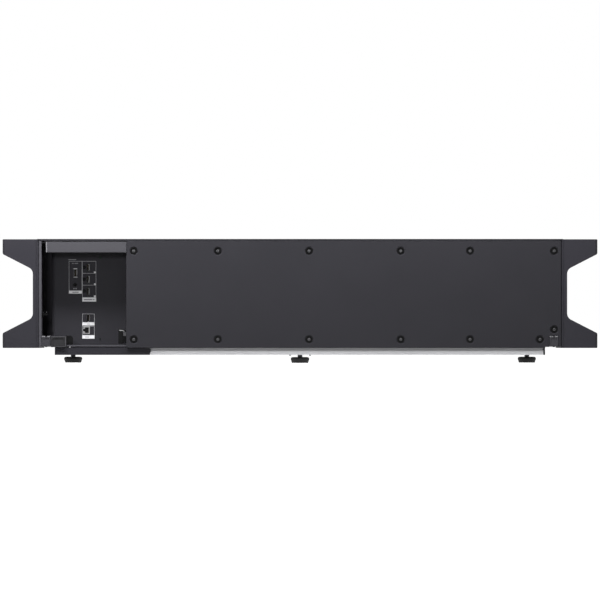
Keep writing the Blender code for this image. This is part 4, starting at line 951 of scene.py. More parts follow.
def makeFrontPanel():
    low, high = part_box("front_panel")
    belly = low.z - 0.5 * mm
    bm = bmesh.new()
    addBox(bm, low, high, frontPanel["edge"], 4)
    piece = looseObject(bm, "frontPanel")
    cutters = bmesh.new()
    grooveLow, grooveHigh = (belly + height for height in frontPanel["groove"])
    addBox(cutters, (low.x - 5 * mm, high.y - frontPanel["grooveDepth"], grooveLow), (high.x + 5 * mm, high.y + 5 * mm, grooveHigh))
    eyeLow = (high.x - 110 * mm, belly + 14 * mm)
    eyeHigh = (high.x - 62 * mm, belly + 26 * mm)
    addPrism(cutters, roundedBox(eyeLow, eyeHigh, 4 * mm), "XZ", high.y - 1.8 * mm, high.y + 5 * mm)
    lamp = (low.x + 80 * mm, belly + 20 * mm)
    addTurned(cutters, rod(1.7 * mm, -2 * mm, 2 * mm), (lamp[0], high.y, lamp[1]), "Y", 24)
    carve(piece, cutters)
    finishPiece(piece, fasciaFinish, replaces=("front_panel",))
    bm = bmesh.new()
    inset = 0.15 * mm
    pane = roundedBox((eyeLow[0] + inset, eyeLow[1] + inset), (eyeHigh[0] - inset, eyeHigh[1] - inset), 3.9 * mm)
    addPrism(bm, pane, "XZ", high.y - 1.7 * mm, high.y - 0.2 * mm, 0.4 * mm)
    finishPiece(looseObject(bm, "receiverWindow"), acrylic)
    bm = bmesh.new()
    addTurned(bm, rod(1.55 * mm, -1.9 * mm, -0.1 * mm, 0.5 * mm), (lamp[0], high.y, lamp[1]), "Y", 24)
    finishPiece(looseObject(bm, "statusLamp"), statusGlow)
    strip = bmesh.new()
    addBox(strip, (low.x + 1 * mm, high.y - 1.4 * mm, grooveLow + 0.2 * mm), (high.x - 1 * mm, high.y - 0.9 * mm, grooveHigh - 0.2 * mm), 0.2 * mm, 1)
    finishPiece(looseObject(strip, "fasciaStrip"), blackPlastic)


makeFrontPanel()
print("front panel made")

# Base rails, the dark cover over the left end, and small fixings under the rail

rail = {"drop": 1.3 * mm, "step": 4.0 * mm, "stepDown": 5.3 * mm, "edge": 0.5 * mm, "plug": 3.6 * mm, "hole": 5.8 * mm}


def makeRail(name, node, side, feet, plugEnd):
    low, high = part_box(node)
    low.z -= rail["drop"]
    outer, inner = (low.y, high.y) if side < 0 else (high.y, low.y)
    stepZ = high.z - rail["stepDown"]
    shelf = outer - side * rail["step"]
    outline = arcs([
        (outer, low.z, rail["edge"]), (outer, stepZ, rail["edge"]), (shelf, stepZ, 0.8 * mm),
        (shelf, high.z, rail["edge"]), (inner, high.z, rail["edge"]), (inner, low.z, rail["edge"]),
    ], 4)
    bm = bmesh.new()
    addPrism(bm, outline, "YZ", low.x + rail["plug"], high.x - rail["plug"])
    piece = looseObject(bm, name)
    cutters = bmesh.new()
    for foot in feet:
        spot = middle(foot + "_stud")
        bore = [(0, -1 * mm), (rail["hole"] + 1.6 * mm, -1 * mm), (rail["hole"], 0.8 * mm), (rail["hole"], 40 * mm), (0, 40 * mm)]
        addTurned(cutters, bore, (spot.x, spot.y, low.z), "Z", 40)
    groove = outer - side * 0.4 * mm
    addBox(cutters, (low.x - 5 * mm, min(groove, outer + side * 4 * mm), low.z + 3.0 * mm),
           (high.x + 5 * mm, max(groove, outer + side * 4 * mm), low.z + 3.5 * mm))
    carve(piece, cutters)
    finishPiece(piece, railFinish, replaces=(node,))
    for end, x in (("Left", low.x), ("Right", high.x)):
        sign = -1 if x < 0 else 1
        inside = x - sign * (rail["plug"] - 0.1 * mm)
        cap = bmesh.new()
        addPrism(cap, outline, "YZ", min(x, inside), max(x, inside), 0.4 * mm)
        finishPiece(looseObject(cap, f"{name}Plug{end}"), blackPlastic)
    if plugEnd:
        nib = bmesh.new()
        addTurned(nib, rod(1.6 * mm, 0, 1.8 * mm, 0.5 * mm), (high.x - 3.8 * mm, shelf, stepZ + 1.4 * mm), "-Y", 20)
        for x in (-21 * mm, 21 * mm):
            addTurned(nib, rod(2.3 * mm, 0, 1.6 * mm, 0.5 * mm), (x, outer + 3.2 * mm, low.z), "-Z", 24)
        finishPiece(looseObject(nib, name + "Fixings"), screwBlack)


def makeEndCover():
    low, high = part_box("rail_end_cover")
    belly = low.z + 13.9 * mm
    low.z -= rail["drop"]
    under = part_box("rear_cover")[0].x - 0.3 * mm
    guide = low.x + 32.8 * mm
    nose = (low.z + belly) / 2
    outline = arcs([
        (low.x, low.z, 0.8 * mm), (high.x - 2 * mm, low.z, 0.8 * mm), (high.x, nose, 1.2 * mm),
        (high.x - 1.5 * mm, belly - 1.5 * mm, 0.8 * mm), (under, belly - 1.5 * mm, 0.5 * mm), (under, high.z, 0.5 * mm),
        (guide, high.z, 0.5 * mm), (guide, belly + 0.6 * mm, 0.3 * mm), (low.x, belly + 0.6 * mm, 0.4 * mm),
    ], 4)
    bm = bmesh.new()
    addPrism(bm, outline, "XZ", low.y, high.y, 0.7 * mm, 3)
    finishPiece(looseObject(bm, "railEndCover"), baseCoat, replaces=("rail_end_cover",))
    seal = bmesh.new()  # foam strip between the end cover and the cable guide
    guideLow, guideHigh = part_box("cable_guide")
    addBox(seal, (low.x + 0.6 * mm, guideLow.y + 6 * mm, belly + 0.4 * mm),
           (guideHigh.x + 6 * mm, guideLow.y + 14 * mm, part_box("bottom_plate")[0].z + 0.6 * mm), 0.3 * mm, 2)
    finishPiece(looseObject(seal, "endCoverSeal"), cupRubber)


makeRail("baseRailRear", "base_rail_rear", -1, ["foot_rear"], True)
makeRail("baseRailFront", "base_rail_front", 1, ["foot_left", "foot_right"], False)
makeEndCover()
print("rails made")

# Feet: a threaded stud, and a pad with a gripped rim and a soft sole

foot = {"pitch": 1.5 * mm, "thread": 0.65 * mm, "grips": 24, "gripDepth": 0.45 * mm}


def makeFoot(name, node):
    low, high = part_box(node + "_stud")
    centre = (low + high) / 2
    radius = (high.x - low.x) / 2
    length = high.z - low.z
    profile = [(0, 0), (radius - foot["thread"], 0)]
    turns = int(length / foot["pitch"])
    for index in range(turns):
        z = index * foot["pitch"]
        profile += [(radius - foot["thread"], z + 0.15 * mm), (radius, z + 0.65 * mm), (radius, z + 0.85 * mm),
                    (radius - foot["thread"], z + 1.35 * mm)]
    profile += [(radius - foot["thread"], length - 0.3 * mm), (radius - 1.2 * mm, length), (0, length)]
    bm = bmesh.new()
    addTurned(bm, profile, (centre.x, centre.y, low.z), "Z", 36)
    finishPiece(looseObject(bm, name + "Stud"), screwBlack, body=node + "_screw",
                replaces=(node + "_stud",), sharp=50)
    padLow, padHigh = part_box(node + "_pad")
    wide = (padHigh.x - padLow.x) / 2 + 0.5 * mm
    tall = padHigh.z - padLow.z
    bore, seat = radius + 0.3 * mm, low.z - padLow.z - 0.3 * mm
    profile = [
        (0, seat), (bore, seat), (bore, tall - 0.4 * mm), (bore + 0.4 * mm, tall), (wide - 5.4 * mm, tall),
        (wide - 3.0 * mm, tall - 0.3 * mm), (wide - 1.5 * mm, tall - 0.9 * mm), (wide - 0.5 * mm, tall - 1.9 * mm),
        (wide - 0.1 * mm, tall - 3.0 * mm), (wide, tall - 4.0 * mm), (wide - 0.3 * mm, 6.6 * mm), (wide - 1.2 * mm, 4.4 * mm),
        (wide - 2.0 * mm, 1.2 * mm), (wide - 2.4 * mm, 0.4 * mm), (wide - 3.0 * mm, 0), (wide - 6 * mm, 0),
        (wide - 6.6 * mm, 0.6 * mm), (0, 0.6 * mm),
    ]
    bm = bmesh.new()
    made = addTurned(bm, profile, (0, 0, 0), "Z", 96)
    for vert in made:
        if math.hypot(vert.co.x, vert.co.y) > wide - 0.5 * mm:
            turn = math.atan2(vert.co.y, vert.co.x)
            squeeze = 1 - foot["gripDepth"] / wide * max(0.0, math.cos(turn * foot["grips"]))
            vert.co.x *= squeeze
            vert.co.y *= squeeze
    bmesh.ops.translate(bm, verts=bm.verts, vec=(centre.x, centre.y, padLow.z))
    finishPiece(looseObject(bm, name + "Pad"), rubber, body=node + "_base", replaces=(node + "_pad",))


for name, node in (("footRear", "foot_rear"), ("footLeft", "foot_left"), ("footRight", "foot_right")):
    makeFoot(name, node)
print("feet made")

# Connector bay: header, the bent connector panel and its fittings

bay = {"sheet": 1.5 * mm, "bend": 8 * mm, "headerEdge": 0.8 * mm, "portGap": 0.3 * mm}
portNames = ["video_port_1", "video_port_2", "video_port_3", "data_port", "network_port", "remote_port"]
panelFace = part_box("video_port_1")[0].y + 1.2 * mm


def makeHeader():
    low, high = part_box("bay_header")
    bm = bmesh.new()
    outline = arcs([
        (low.y, low.z, 1.4 * mm), (low.y, high.z, 0.5 * mm), (low.y + 2 * mm, high.z, 0.5 * mm),
        (low.y + 2 * mm, low.z + 2 * mm, 0.6 * mm), (high.y, low.z + 2 * mm, 0.5 * mm), (high.y, low.z, 0.5 * mm),
    ], 4)
    addPrism(bm, outline, "YZ", low.x, high.x - 5.5 * mm, 0.4 * mm)
    addBox(bm, (high.x - 5.6 * mm, low.y, low.z), (high.x, low.y + 2 * mm, high.z), 0.4 * mm, 2)
    finishPiece(looseObject(bm, "bayHeader"), headerCoat, replaces=("bay_header",))
    end = bmesh.new()  # a light strip down its left end: painted highlight on the folded edge
    addBox(end, (low.x - 0.1 * mm, low.y - 0.1 * mm, low.z + 0.3 * mm), (low.x + 2.2 * mm, low.y + 1.6 * mm, high.z - 0.3 * mm), 0.4 * mm, 2)
    finishPiece(looseObject(end, "bayHeaderEnd"), edgeHighlightCoat)


def makeConnectorPanel():
    low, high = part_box("connector_panel")
    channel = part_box("bay_housing")[0].x + 19.9 * mm - 0.3 * mm
    back, sheet, bend = high.y - bay["sheet"], bay["sheet"], bay["bend"]
    outline = arcs([
        (high.x, panelFace, 0), (channel, panelFace, bend), (channel, back, 0), (low.x, back, 0),
        (low.x, high.y, 0), (channel + sheet, high.y, 0), (channel + sheet, panelFace + sheet, bend - sheet),
        (high.x, panelFace + sheet, 0),
    ], 12)
    bm = bmesh.new()
    addPrism(bm, outline, "XY", low.z, high.z)
    piece = looseObject(bm, "connectorPanel")
    cutters = bmesh.new()
    for port in portNames:
        portLow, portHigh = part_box(port)
        gap = bay["portGap"]
        hole = roundedBox((portLow.x - gap, portLow.z - gap), (portHigh.x + gap, portHigh.z + gap), 0.8 * mm, 3)
        addPrism(cutters, hole, "XZ", panelFace - 5 * mm, panelFace + 5 * mm)
    jack = middle("infrared_jack")
    jackRadius = (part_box("infrared_jack")[1].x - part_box("infrared_jack")[0].x) / 2
    addTurned(cutters, rod(jackRadius + 0.3 * mm, -5 * mm, 5 * mm), (jack.x, panelFace, jack.z), "Y", 32)
    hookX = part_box("video_port_1")[1].x + 21.5 * mm
    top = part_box("bay_header")[0].z
    hook = [(hookX - 4 * mm, top - 11 * mm), (hookX + 4 * mm, top - 11 * mm), (hookX, top - 5.5 * mm)]
    addPrism(cutters, hook, "XZ", panelFace - 5 * mm, panelFace + 5 * mm)
    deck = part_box("bottom_plate")[1].z
    addBox(cutters, (hookX - 1 * mm, panelFace - 5 * mm, deck + 8 * mm), (hookX + 1 * mm, panelFace + 5 * mm, deck + 15.5 * mm))
    for port in portNames[:3]:
        spot = middle(port)
        addTurned(cutters, rod(3.6 * mm, -5 * mm, 5 * mm), (spot.x - 8.4 * mm, panelFace, spot.z), "Y", 28)
    carve(piece, cutters)
    finishPiece(piece, litPanelCoat, replaces=("connector_panel",))


def makeBayFittings():
    # lock screws, fixing screws, the cable anchor in the channel and an edge clip
    locks = bmesh.new()
    for port in portNames[:3]:
        spot = middle(port)
        centre = (spot.x - 8.4 * mm, panelFace + 2.2 * mm, spot.z)
        ring = [(1.4 * mm, -1.4 * mm), (3.4 * mm, -1.4 * mm), (3.4 * mm, 1.2 * mm), (2.8 * mm, 1.8 * mm), (1.4 * mm, 1.8 * mm)]
        addTurned(locks, ring, centre, "-Y", 24, closed=True)
    finishPiece(looseObject(locks, "portLocks"), cupRubber)
    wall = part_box("side_wall_left")[1].x
    anchor = bmesh.new()
    addBox(anchor, (wall + 0.2 * mm, -236 * mm, 100 * mm), (wall + 12 * mm, -233 * mm, 105 * mm), 0.8 * mm)
    addBox(anchor, (wall + 0.2 * mm, -240 * mm, 96 * mm), (wall + 3 * mm, -226 * mm, 105 * mm), 0.6 * mm)
    finishPiece(looseObject(anchor, "cableAnchor"), cupRubber)
    studs = bmesh.new()
    for offset in (2.4 * mm, 10 * mm):
        addScrew(studs, (wall + offset, -234.6 * mm, 106.8 * mm), "-Y", 1.2 * mm, 1.4 * mm)
    finishPiece(looseObject(studs, "anchorScrews"), screwGrey)
    clip = bmesh.new()
    bendX = wall + 21.6 * mm
    addBox(clip, (bendX, panelFace + 1.0 * mm, 63 * mm), (bendX + 3.4 * mm, panelFace + 4.4 * mm, 74.6 * mm), 0.6 * mm)
    addBox(clip, (bendX + 0.6 * mm, panelFace - 0.6 * mm, 65 * mm), (bendX + 2.4 * mm, panelFace + 1.6 * mm, 68 * mm), 0.4 * mm)
    finishPiece(looseObject(clip, "edgeClip"), satinPlastic)


makeHeader()
makeConnectorPanel()
makeBayFittings()
print("connector bay made")

# Connectors

port = {"wall": 0.45 * mm, "depth": 11 * mm}


def shellProfile(low, high, kind):
    # face outlines: a video port tapers towards the left, the others are plain
    if kind == "video":
        taper = 1.8 * mm
        return arcs([(low[0], low[1] + taper, 0.5 * mm), (low[0] + taper, low[1], 0.5 * mm), (high[0], low[1], 0.5 * mm),
                     (high[0], high[1], 0.5 * mm), (low[0] + taper, high[1], 0.5 * mm), (low[0], high[1] - taper, 0.5 * mm)], 3)
    return roundedBox(low, high, 0.5 * mm, 3)


def makePort(name, node, kind, lipFinish, inner, tongue, lips=(), shift=0.0):
    # a bright shell around a dark mouth, with a contact tongue standing in it
    low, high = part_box(node)
    bm = bmesh.new()
    outline = shellProfile((low.x, low.z), (high.x, high.z), kind)
    addPrism(bm, outline, "XZ", low.y, high.y)
    piece = looseObject(bm, name)
    centre = (low + high) / 2
    centre.x += shift
    cutters = bmesh.new()
    half = (inner[0] / 2, inner[1] / 2)
    mouth = shellProfile((centre.x - half[0], centre.z - half[1]), (centre.x + half[0], centre.z + half[1]), kind)
    addPrism(cutters, mouth, "XZ", low.y - 4 * mm, low.y + port["depth"])
    carve(piece, cutters)
    finishPiece(piece, portShell, replaces=(node,))
    lining = bmesh.new()
    skin = 0.35 * mm
    addPrism(lining, mouth, "XZ", low.y + 0.6 * mm, low.y + port["depth"] - 0.1 * mm)
    liner = looseObject(lining, name + "Liner")
    cutters = bmesh.new()
    bore = shellProfile((centre.x - half[0] + skin, centre.z - half[1] + skin),
                        (centre.x + half[0] - skin, centre.z + half[1] - skin), kind)
    addPrism(cutters, bore, "XZ", low.y - 4 * mm, low.y + port["depth"] - 1 * mm)
    carve(liner, cutters)
    finishPiece(liner, portPlastic)
    if lips:
        bright = bmesh.new()  # the sprung lips of the shield, proud of its face
        for dx0, dz0, dx1, dz1 in lips:
            addBox(bright, (centre.x + dx0 * mm, low.y - 0.3 * mm, centre.z + dz0 * mm),
                   (centre.x + dx1 * mm, low.y + 0.2 * mm, centre.z + dz1 * mm), 0.12 * mm, 1)
        finishPiece(looseObject(bright, name + "Lips"), lipFinish)
    if tongue:
        blade = bmesh.new()
        width, height, offset = tongue
        x = centre.x + offset
        addBox(blade, (x - width / 2, low.y + 1.7 * mm, centre.z - height / 2),
               (x + width / 2, low.y + port["depth"] - 0.9 * mm, centre.z + height / 2), 0.2 * mm, 1)
        finishPiece(looseObject(blade, name + "Tongue"), portPlastic)
        pins = bmesh.new()
        count = 8
        for index in range(count):
            z = centre.z - height / 2 + height * (index + 0.5) / count
            for side in (-1, 1):
                pinX = x + side * (width / 2 + 0.06 * mm)
                addBox(pins, (pinX - 0.07 * mm, low.y + 2.2 * mm, z - height / count * 0.25),
                       (pinX + 0.07 * mm, low.y + 9 * mm, z + height / count * 0.25))
        finishPiece(looseObject(pins, name + "Contacts"), gold)


def makeNetworkPort():
    low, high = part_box("network_port")
    bm = bmesh.new()
    addPrism(bm, roundedBox((low.x, low.z), (high.x, high.z), 0.5 * mm, 3), "XZ", low.y, high.y)
    piece = looseObject(bm, "networkPort")
    centre = (low + high) / 2
    cutters = bmesh.new()
    half = 5.9 * mm
    mouth = arcs([
        (centre.x + 4.9 * mm, centre.z - half, 0.3 * mm), (centre.x + 4.9 * mm, centre.z + half, 0.3 * mm),
        (centre.x - 3.4 * mm, centre.z + half, 0.3 * mm), (centre.x - 3.4 * mm, centre.z + 3.8 * mm, 0.3 * mm),
        (centre.x - 5.0 * mm, centre.z + 3.8 * mm, 0.3 * mm), (centre.x - 5.0 * mm, centre.z + 2.4 * mm, 0.3 * mm),
        (centre.x - 9 * mm, centre.z + 2.4 * mm, 0.2 * mm), (centre.x - 9 * mm, centre.z - 2.4 * mm, 0.2 * mm),
        (centre.x - 5.0 * mm, centre.z - 2.4 * mm, 0.3 * mm), (centre.x - 5.0 * mm, centre.z - 3.8 * mm, 0.3 * mm),
        (centre.x - 3.4 * mm, centre.z - 3.8 * mm, 0.3 * mm), (centre.x - 3.4 * mm, centre.z - half, 0.3 * mm),
    ], 2)
    addPrism(cutters, mouth, "XZ", low.y - 4 * mm, low.y + port["depth"])
    carve(piece, cutters)
    finishPiece(piece, lipMetal, replaces=("network_port",))
    liner = bmesh.new()
    addBox(liner, (centre.x - 3.2 * mm, low.y + 2.5 * mm, centre.z - 5.7 * mm),
           (centre.x + 4.7 * mm, low.y + port["depth"] - 0.1 * mm, centre.z + 5.7 * mm), 0.1 * mm, 1)
    addBox(liner, (centre.x - 6.6 * mm, low.y + 2.5 * mm, centre.z - 2.2 * mm),
           (centre.x - 3.3 * mm, low.y + port["depth"] - 0.1 * mm, centre.z + 2.2 * mm), 0.1 * mm, 1)
    finishPiece(looseObject(liner, "networkPortBack"), portPlastic)
    pins = bmesh.new()
    for index in range(8):
        z = centre.z + (index - 3.5) * 1.02 * mm
        addBox(pins, (centre.x + 4.3 * mm, low.y + 1.2 * mm, z - 0.2 * mm), (centre.x + 4.7 * mm, low.y + 2.6 * mm, z + 0.2 * mm))
    finishPiece(looseObject(pins, "networkPortContacts"), gold)


def makeJack():
    low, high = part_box("infrared_jack")
    centre = (low + high) / 2
    radius = (high.x - low.x) / 2
    profile = [(0, -6 * mm), (radius, -6 * mm), (radius, 13.2 * mm), (radius - 0.5 * mm, 13.9 * mm), (2.9 * mm, 14 * mm),
               (2.5 * mm, 13.4 * mm), (1.85 * mm, 13.2 * mm), (1.8 * mm, 4 * mm), (0, 4 * mm)]
    bm = bmesh.new()
    addTurned(bm, profile, (centre.x, panelFace + 12.5 * mm, centre.z), "-Y", 40)
    finishPiece(looseObject(bm, "infraredJack"), portPlastic, replaces=("infrared_jack",))


videoLips = [(2.2, -6.2, 2.9, 6.2), (0.4, 5.9, 2.2, 6.5), (0.4, -6.5, 2.2, -5.9)]
dataLips = [(2.4, -5.6, 3.1, 5.8), (-3.4, -5.2, -3.1, 5.2)]
serviceLips = [(-3.6, 8.0, 4.9, 9.0), (-2.6, 9.0, 3.9, 9.9), (-3.0, -9.4, 4.9, -8.0), (3.5, -5.6, 4.1, 5.8), (-2.1, -5.6, -1.8, 5.8)]
for number in (1, 2, 3):
    makePort(f"videoPort{number}", f"video_port_{number}", "video", lipDull,
             (5.8 * mm, 14.6 * mm), (1.5 * mm, 11.2 * mm, -0.4 * mm), videoLips, -0.5 * mm)
makePort("dataPort", "data_port", "data", lipMetal, (5.6 * mm, 13.2 * mm), (1.9 * mm, 11.4 * mm, 1.0 * mm), dataLips)
makePort("servicePort", "remote_port", "data", lipBright, (5.6 * mm, 14.4 * mm), (1.3 * mm, 8.2 * mm, 0.6 * mm), serviceLips)
makeNetworkPort()
makeJack()
print("connectors made")

# Printed frames and labels on the connector panel: thin raised ink, and no lettering

ink = {"thick": 0.12 * mm, "line": 0.75 * mm}
cellRight = 16.4 * mm  # from a video port to the right of its cell
numberDrop = 10.8 * mm


def addLine(bm, x0, z0, x1, z1):
    half = ink["line"] / 2
    addBox(bm, (min(x0, x1) - half, panelFace - ink["thick"], min(z0, z1) - half),
           (max(x0, x1) + half, panelFace - 0.01 * mm, max(z0, z1) + half))


def addBar(bm, x0, z0, x1, z1, lift=0.0):
    addBox(bm, (x0, panelFace - ink["thick"] - lift, z0), (x1, panelFace - 0.01 * mm - lift, z1))


def addFrame(bm, x0, z0, x1, z1):
    addLine(bm, x0, z0, x1, z0)
    addLine(bm, x0, z1, x1, z1)
    addLine(bm, x0, z0 + ink["line"], x0, z1 - ink["line"])
    addLine(bm, x1, z0 + ink["line"], x1, z1 - ink["line"])


def makePrints():
    service, jack = middle("remote_port"), middle("infrared_jack")
    videos = [middle(name) for name in portNames[:3]]
    data, network = middle("data_port"), middle("network_port")
    frames, bars, marks = bmesh.new(), bmesh.new(), bmesh.new()
    # group of the service port and the jack
    left, split = service.x - 12.6 * mm, videos[0].x - 12.0 * mm
    top = videos[0].z + 12.8 * mm
    addFrame(frames, left, jack.z - 11.9 * mm, split - 1.5 * ink["line"], top)
    addBar(bars, left - 0.4 * mm, jack.z - 18.4 * mm, split - 0.8 * mm, jack.z - 12.5 * mm)
    addBar(marks, left + 7 * mm, jack.z - 16.4 * mm, split - 8 * mm, jack.z - 14.6 * mm, 0.12 * mm)
    for dx0, dx1, z in ((-1.2, 15, top + 3.4 * mm), (6, 10, top - 4.4 * mm), (11.4, 19, top - 4.4 * mm)):
        addBar(marks, left + dx0 * mm, z - 1.0 * mm, left + dx1 * mm, z + 1.0 * mm)
    for dx in (-2.4, 2.2):
        addBar(marks, jack.x + (dx - 1.4) * mm, jack.z - 9.2 * mm, jack.x + (dx + 1.4) * mm, jack.z - 6.4 * mm)
    # a cell for each video port, with its number plate
    right = videos[0].x + cellRight
    low = videos[2].z - 13.2 * mm
    addFrame(frames, split, low, right, top)
    for upper, lower in zip(videos, videos[1:]):
        z = (upper.z + lower.z) / 2
        addLine(frames, split + ink["line"], z, right - ink["line"], z)
    for spot in videos:
        z = spot.z - numberDrop
        addBar(bars, right - 4.3 * mm, z - 2.0 * mm, right - 0.5 * mm, z + 2.0 * mm)
    addBar(bars, split - 0.4 * mm, low - 8.8 * mm, right + 0.4 * mm, low - 0.2 * mm)
    addBar(marks, split + 3 * mm, low - 5.6 * mm, right - 8 * mm, low - 3.6 * mm, 0.12 * mm)
    addBar(marks, right - 7 * mm, low - 5.4 * mm, right - 3 * mm, low - 3.8 * mm, 0.12 * mm)
    # the data port's cell and the network jack's
    right = data.x + 12.6 * mm
    addFrame(frames, split, data.z - 9.0 * mm, right, data.z + 8.4 * mm)
    addBar(bars, split - 0.4 * mm, data.z - 15.9 * mm, right + 0.4 * mm, data.z - 9.5 * mm)
    addBar(bars, data.x - 1.6 * mm, data.z - 9.5 * mm, data.x + 1.6 * mm, data.z - 7.4 * mm)
    addBar(marks, data.x - 3 * mm, data.z - 13.4 * mm, data.x + 3.4 * mm, data.z - 12.2 * mm, 0.12 * mm)
    addFrame(frames, split, network.z - 10.6 * mm, right, network.z + 8.0 * mm)
    addBar(bars, split - 0.4 * mm, network.z - 18.0 * mm, right + 0.4 * mm, network.z - 11.0 * mm)
    addBar(marks, network.x - 3 * mm, network.z - 15.2 * mm, network.x + 5.6 * mm, network.z - 14.0 * mm, 0.12 * mm)
    finishPiece(looseObject(frames, "printedFrames"), lineInk)
    finishPiece(looseObject(bars, "printedBars"), whiteInk)
    finishPiece(looseObject(marks, "printedMarks"), greyInk)


def makeNumbers():
    right = middle("video_port_1").x + cellRight
    for number in (1, 2, 3):
        spot = middle(f"video_port_{4 - number}")
        words = bpy.data.curves.new(f"portNumber{number}", "FONT")
        words.body = str(number)
        words.size = 3.2 * mm
        words.align_x = "CENTER"
        words.align_y = "CENTER"
        words.extrude = 0.05 * mm
        drawn = bpy.data.objects.new("drawn", words)
        bpy.context.scene.collection.objects.link(drawn)
        bpy.context.view_layer.update()
        mesh = bpy.data.meshes.new_from_object(drawn.evaluated_get(bpy.context.evaluated_depsgraph_get()))
        bpy.data.objects.remove(drawn)
        place = Matrix.Translation((right - 2.4 * mm, panelFace - 0.17 * mm, spot.z - numberDrop))
        mesh.transform(place @ turnTo["-Y"])
        bm = bmesh.new()
        bm.from_mesh(mesh)
        bmesh.ops.remove_doubles(bm, verts=bm.verts, dist=1e-6)
        finishPiece(looseObject(bm, f"portNumber{number}"), greyInk)


makePrints()
makeNumbers()
print("prints made")

# Brackets, cable guide and mains inlet

bracket = {"edge": 0.9 * mm, "tip": 2.2 * mm}


def makeBracket(name, node, side):
    low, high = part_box(node)
    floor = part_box("bottom_plate")[0].z
    bm = bmesh.new()
    addBox(bm, (low.x, low.y, floor), (high.x, high.y, high.z), bracket["edge"], 3)
    piece = looseObject(bm, name)
    cutters = bmesh.new()
    x = (low.x + high.x) / 2
    y = (low.y + high.y) / 2
    addBox(cutters, (x - 1.5 * mm, low.y - 5 * mm, high.z - 3 * mm), (x + 1.5 * mm, high.y + 5 * mm, high.z + 5 * mm), 0.4 * mm, 2)
    recess = roundedBox((low.x + 2.4 * mm, floor + 2.4 * mm), (high.x - 2.4 * mm, high.z - 5.4 * mm), 1.2 * mm)
    addPrism(cutters, recess, "XZ", low.y - 5 * mm, low.y + 0.8 * mm)
    carve(piece, cutters)
    finishPiece(piece, litBracketCoat, replaces=(node,))
    trim = bmesh.new()  # painted highlight along the top edge, open in the middle for the slot
    gap = 1.6 * mm
    for x0, x1 in ((low.x + 1 * mm, x - gap), (x + gap, high.x - 1 * mm)):
        addBox(trim, (x0, low.y - 0.12 * mm, high.z - 2.2 * mm), (x1, low.y + 1 * mm, high.z - 0.4 * mm), 0.3 * mm, 2)
    finishPiece(looseObject(trim, name + "Edge"), trimHighlightCoat)
    bm = bmesh.new()
    tipBottom = low.z
    addTurned(bm, [(0, 0), (1.5 * mm, 0), (bracket["tip"], 0.5 * mm), (bracket["tip"], 2.5 * mm), (0, 2.5 * mm)],
              (x, y, tipBottom), "Z", 28)
    for offset in (-5.2 * mm, 5.2 * mm):
        addScrew(bm, (x + offset, low.y + 0.7 * mm, high.z - 3.4 * mm), "-Y", 1.6 * mm, 1.0 * mm)
    finishPiece(looseObject(bm, name + "Screws"), screwBlack)


def makeCableGuide():
    low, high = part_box("cable_guide")
    bm = bmesh.new()
    addBox(bm, low, high, 0.8 * mm, 3)
    piece = looseObject(bm, "cableGuide")
    cutters = bmesh.new()
    rim = 3.6 * mm
    recess = roundedBox((low.x + rim, low.z + rim), (high.x - rim, high.z - rim), 1.4 * mm)
    addPrism(cutters, recess, "XZ", low.y - 5 * mm, low.y + 2.0 * mm)
    carve(piece, cutters)
    finishPiece(piece, satinPlastic, replaces=("cable_guide",))
    trim = bmesh.new()  # painted highlights along the top, right and lower edges
    y0, y1 = low.y - 0.12 * mm, low.y + 1 * mm
    addBox(trim, (low.x + 0.6 * mm, y0, high.z - 2.0 * mm), (high.x - 0.6 * mm, y1, high.z - 0.6 * mm), 0.3 * mm, 2)
    addBox(trim, (high.x - 2.6 * mm, y0, low.z + 2.4 * mm), (high.x - 0.7 * mm, y1, high.z - 2.1 * mm), 0.3 * mm, 2)
    addBox(trim, (low.x + 3 * mm, y0, low.z + 0.7 * mm), (high.x - 3 * mm, y1, low.z + 1.8 * mm), 0.3 * mm, 2)
    finishPiece(looseObject(trim, "guideEdgeHighlights"), guideHighlightCoat)
    stop = bmesh.new()  # black block behind the guide's right edge, standing in for the guide's cast shadow
    outline = arcs([(high.x - 2 * mm, low.z + 1.2 * mm, 0.4 * mm), (high.x + 14 * mm, low.z + 4 * mm, 0.6 * mm),
                    (high.x + 14 * mm, high.z - 4 * mm, 0.6 * mm), (high.x + 10 * mm, high.z + 1 * mm, 0.6 * mm),
                    (high.x - 2 * mm, high.z + 1 * mm, 0.4 * mm)], 3)
    addPrism(stop, outline, "XZ", low.y + 8 * mm, low.y + 16 * mm, 0.3 * mm)
    finishPiece(looseObject(stop, "guideShadowBlock"), cupRubber)


inlet = {"wire": 0.75 * mm, "reach": 11.6 * mm}


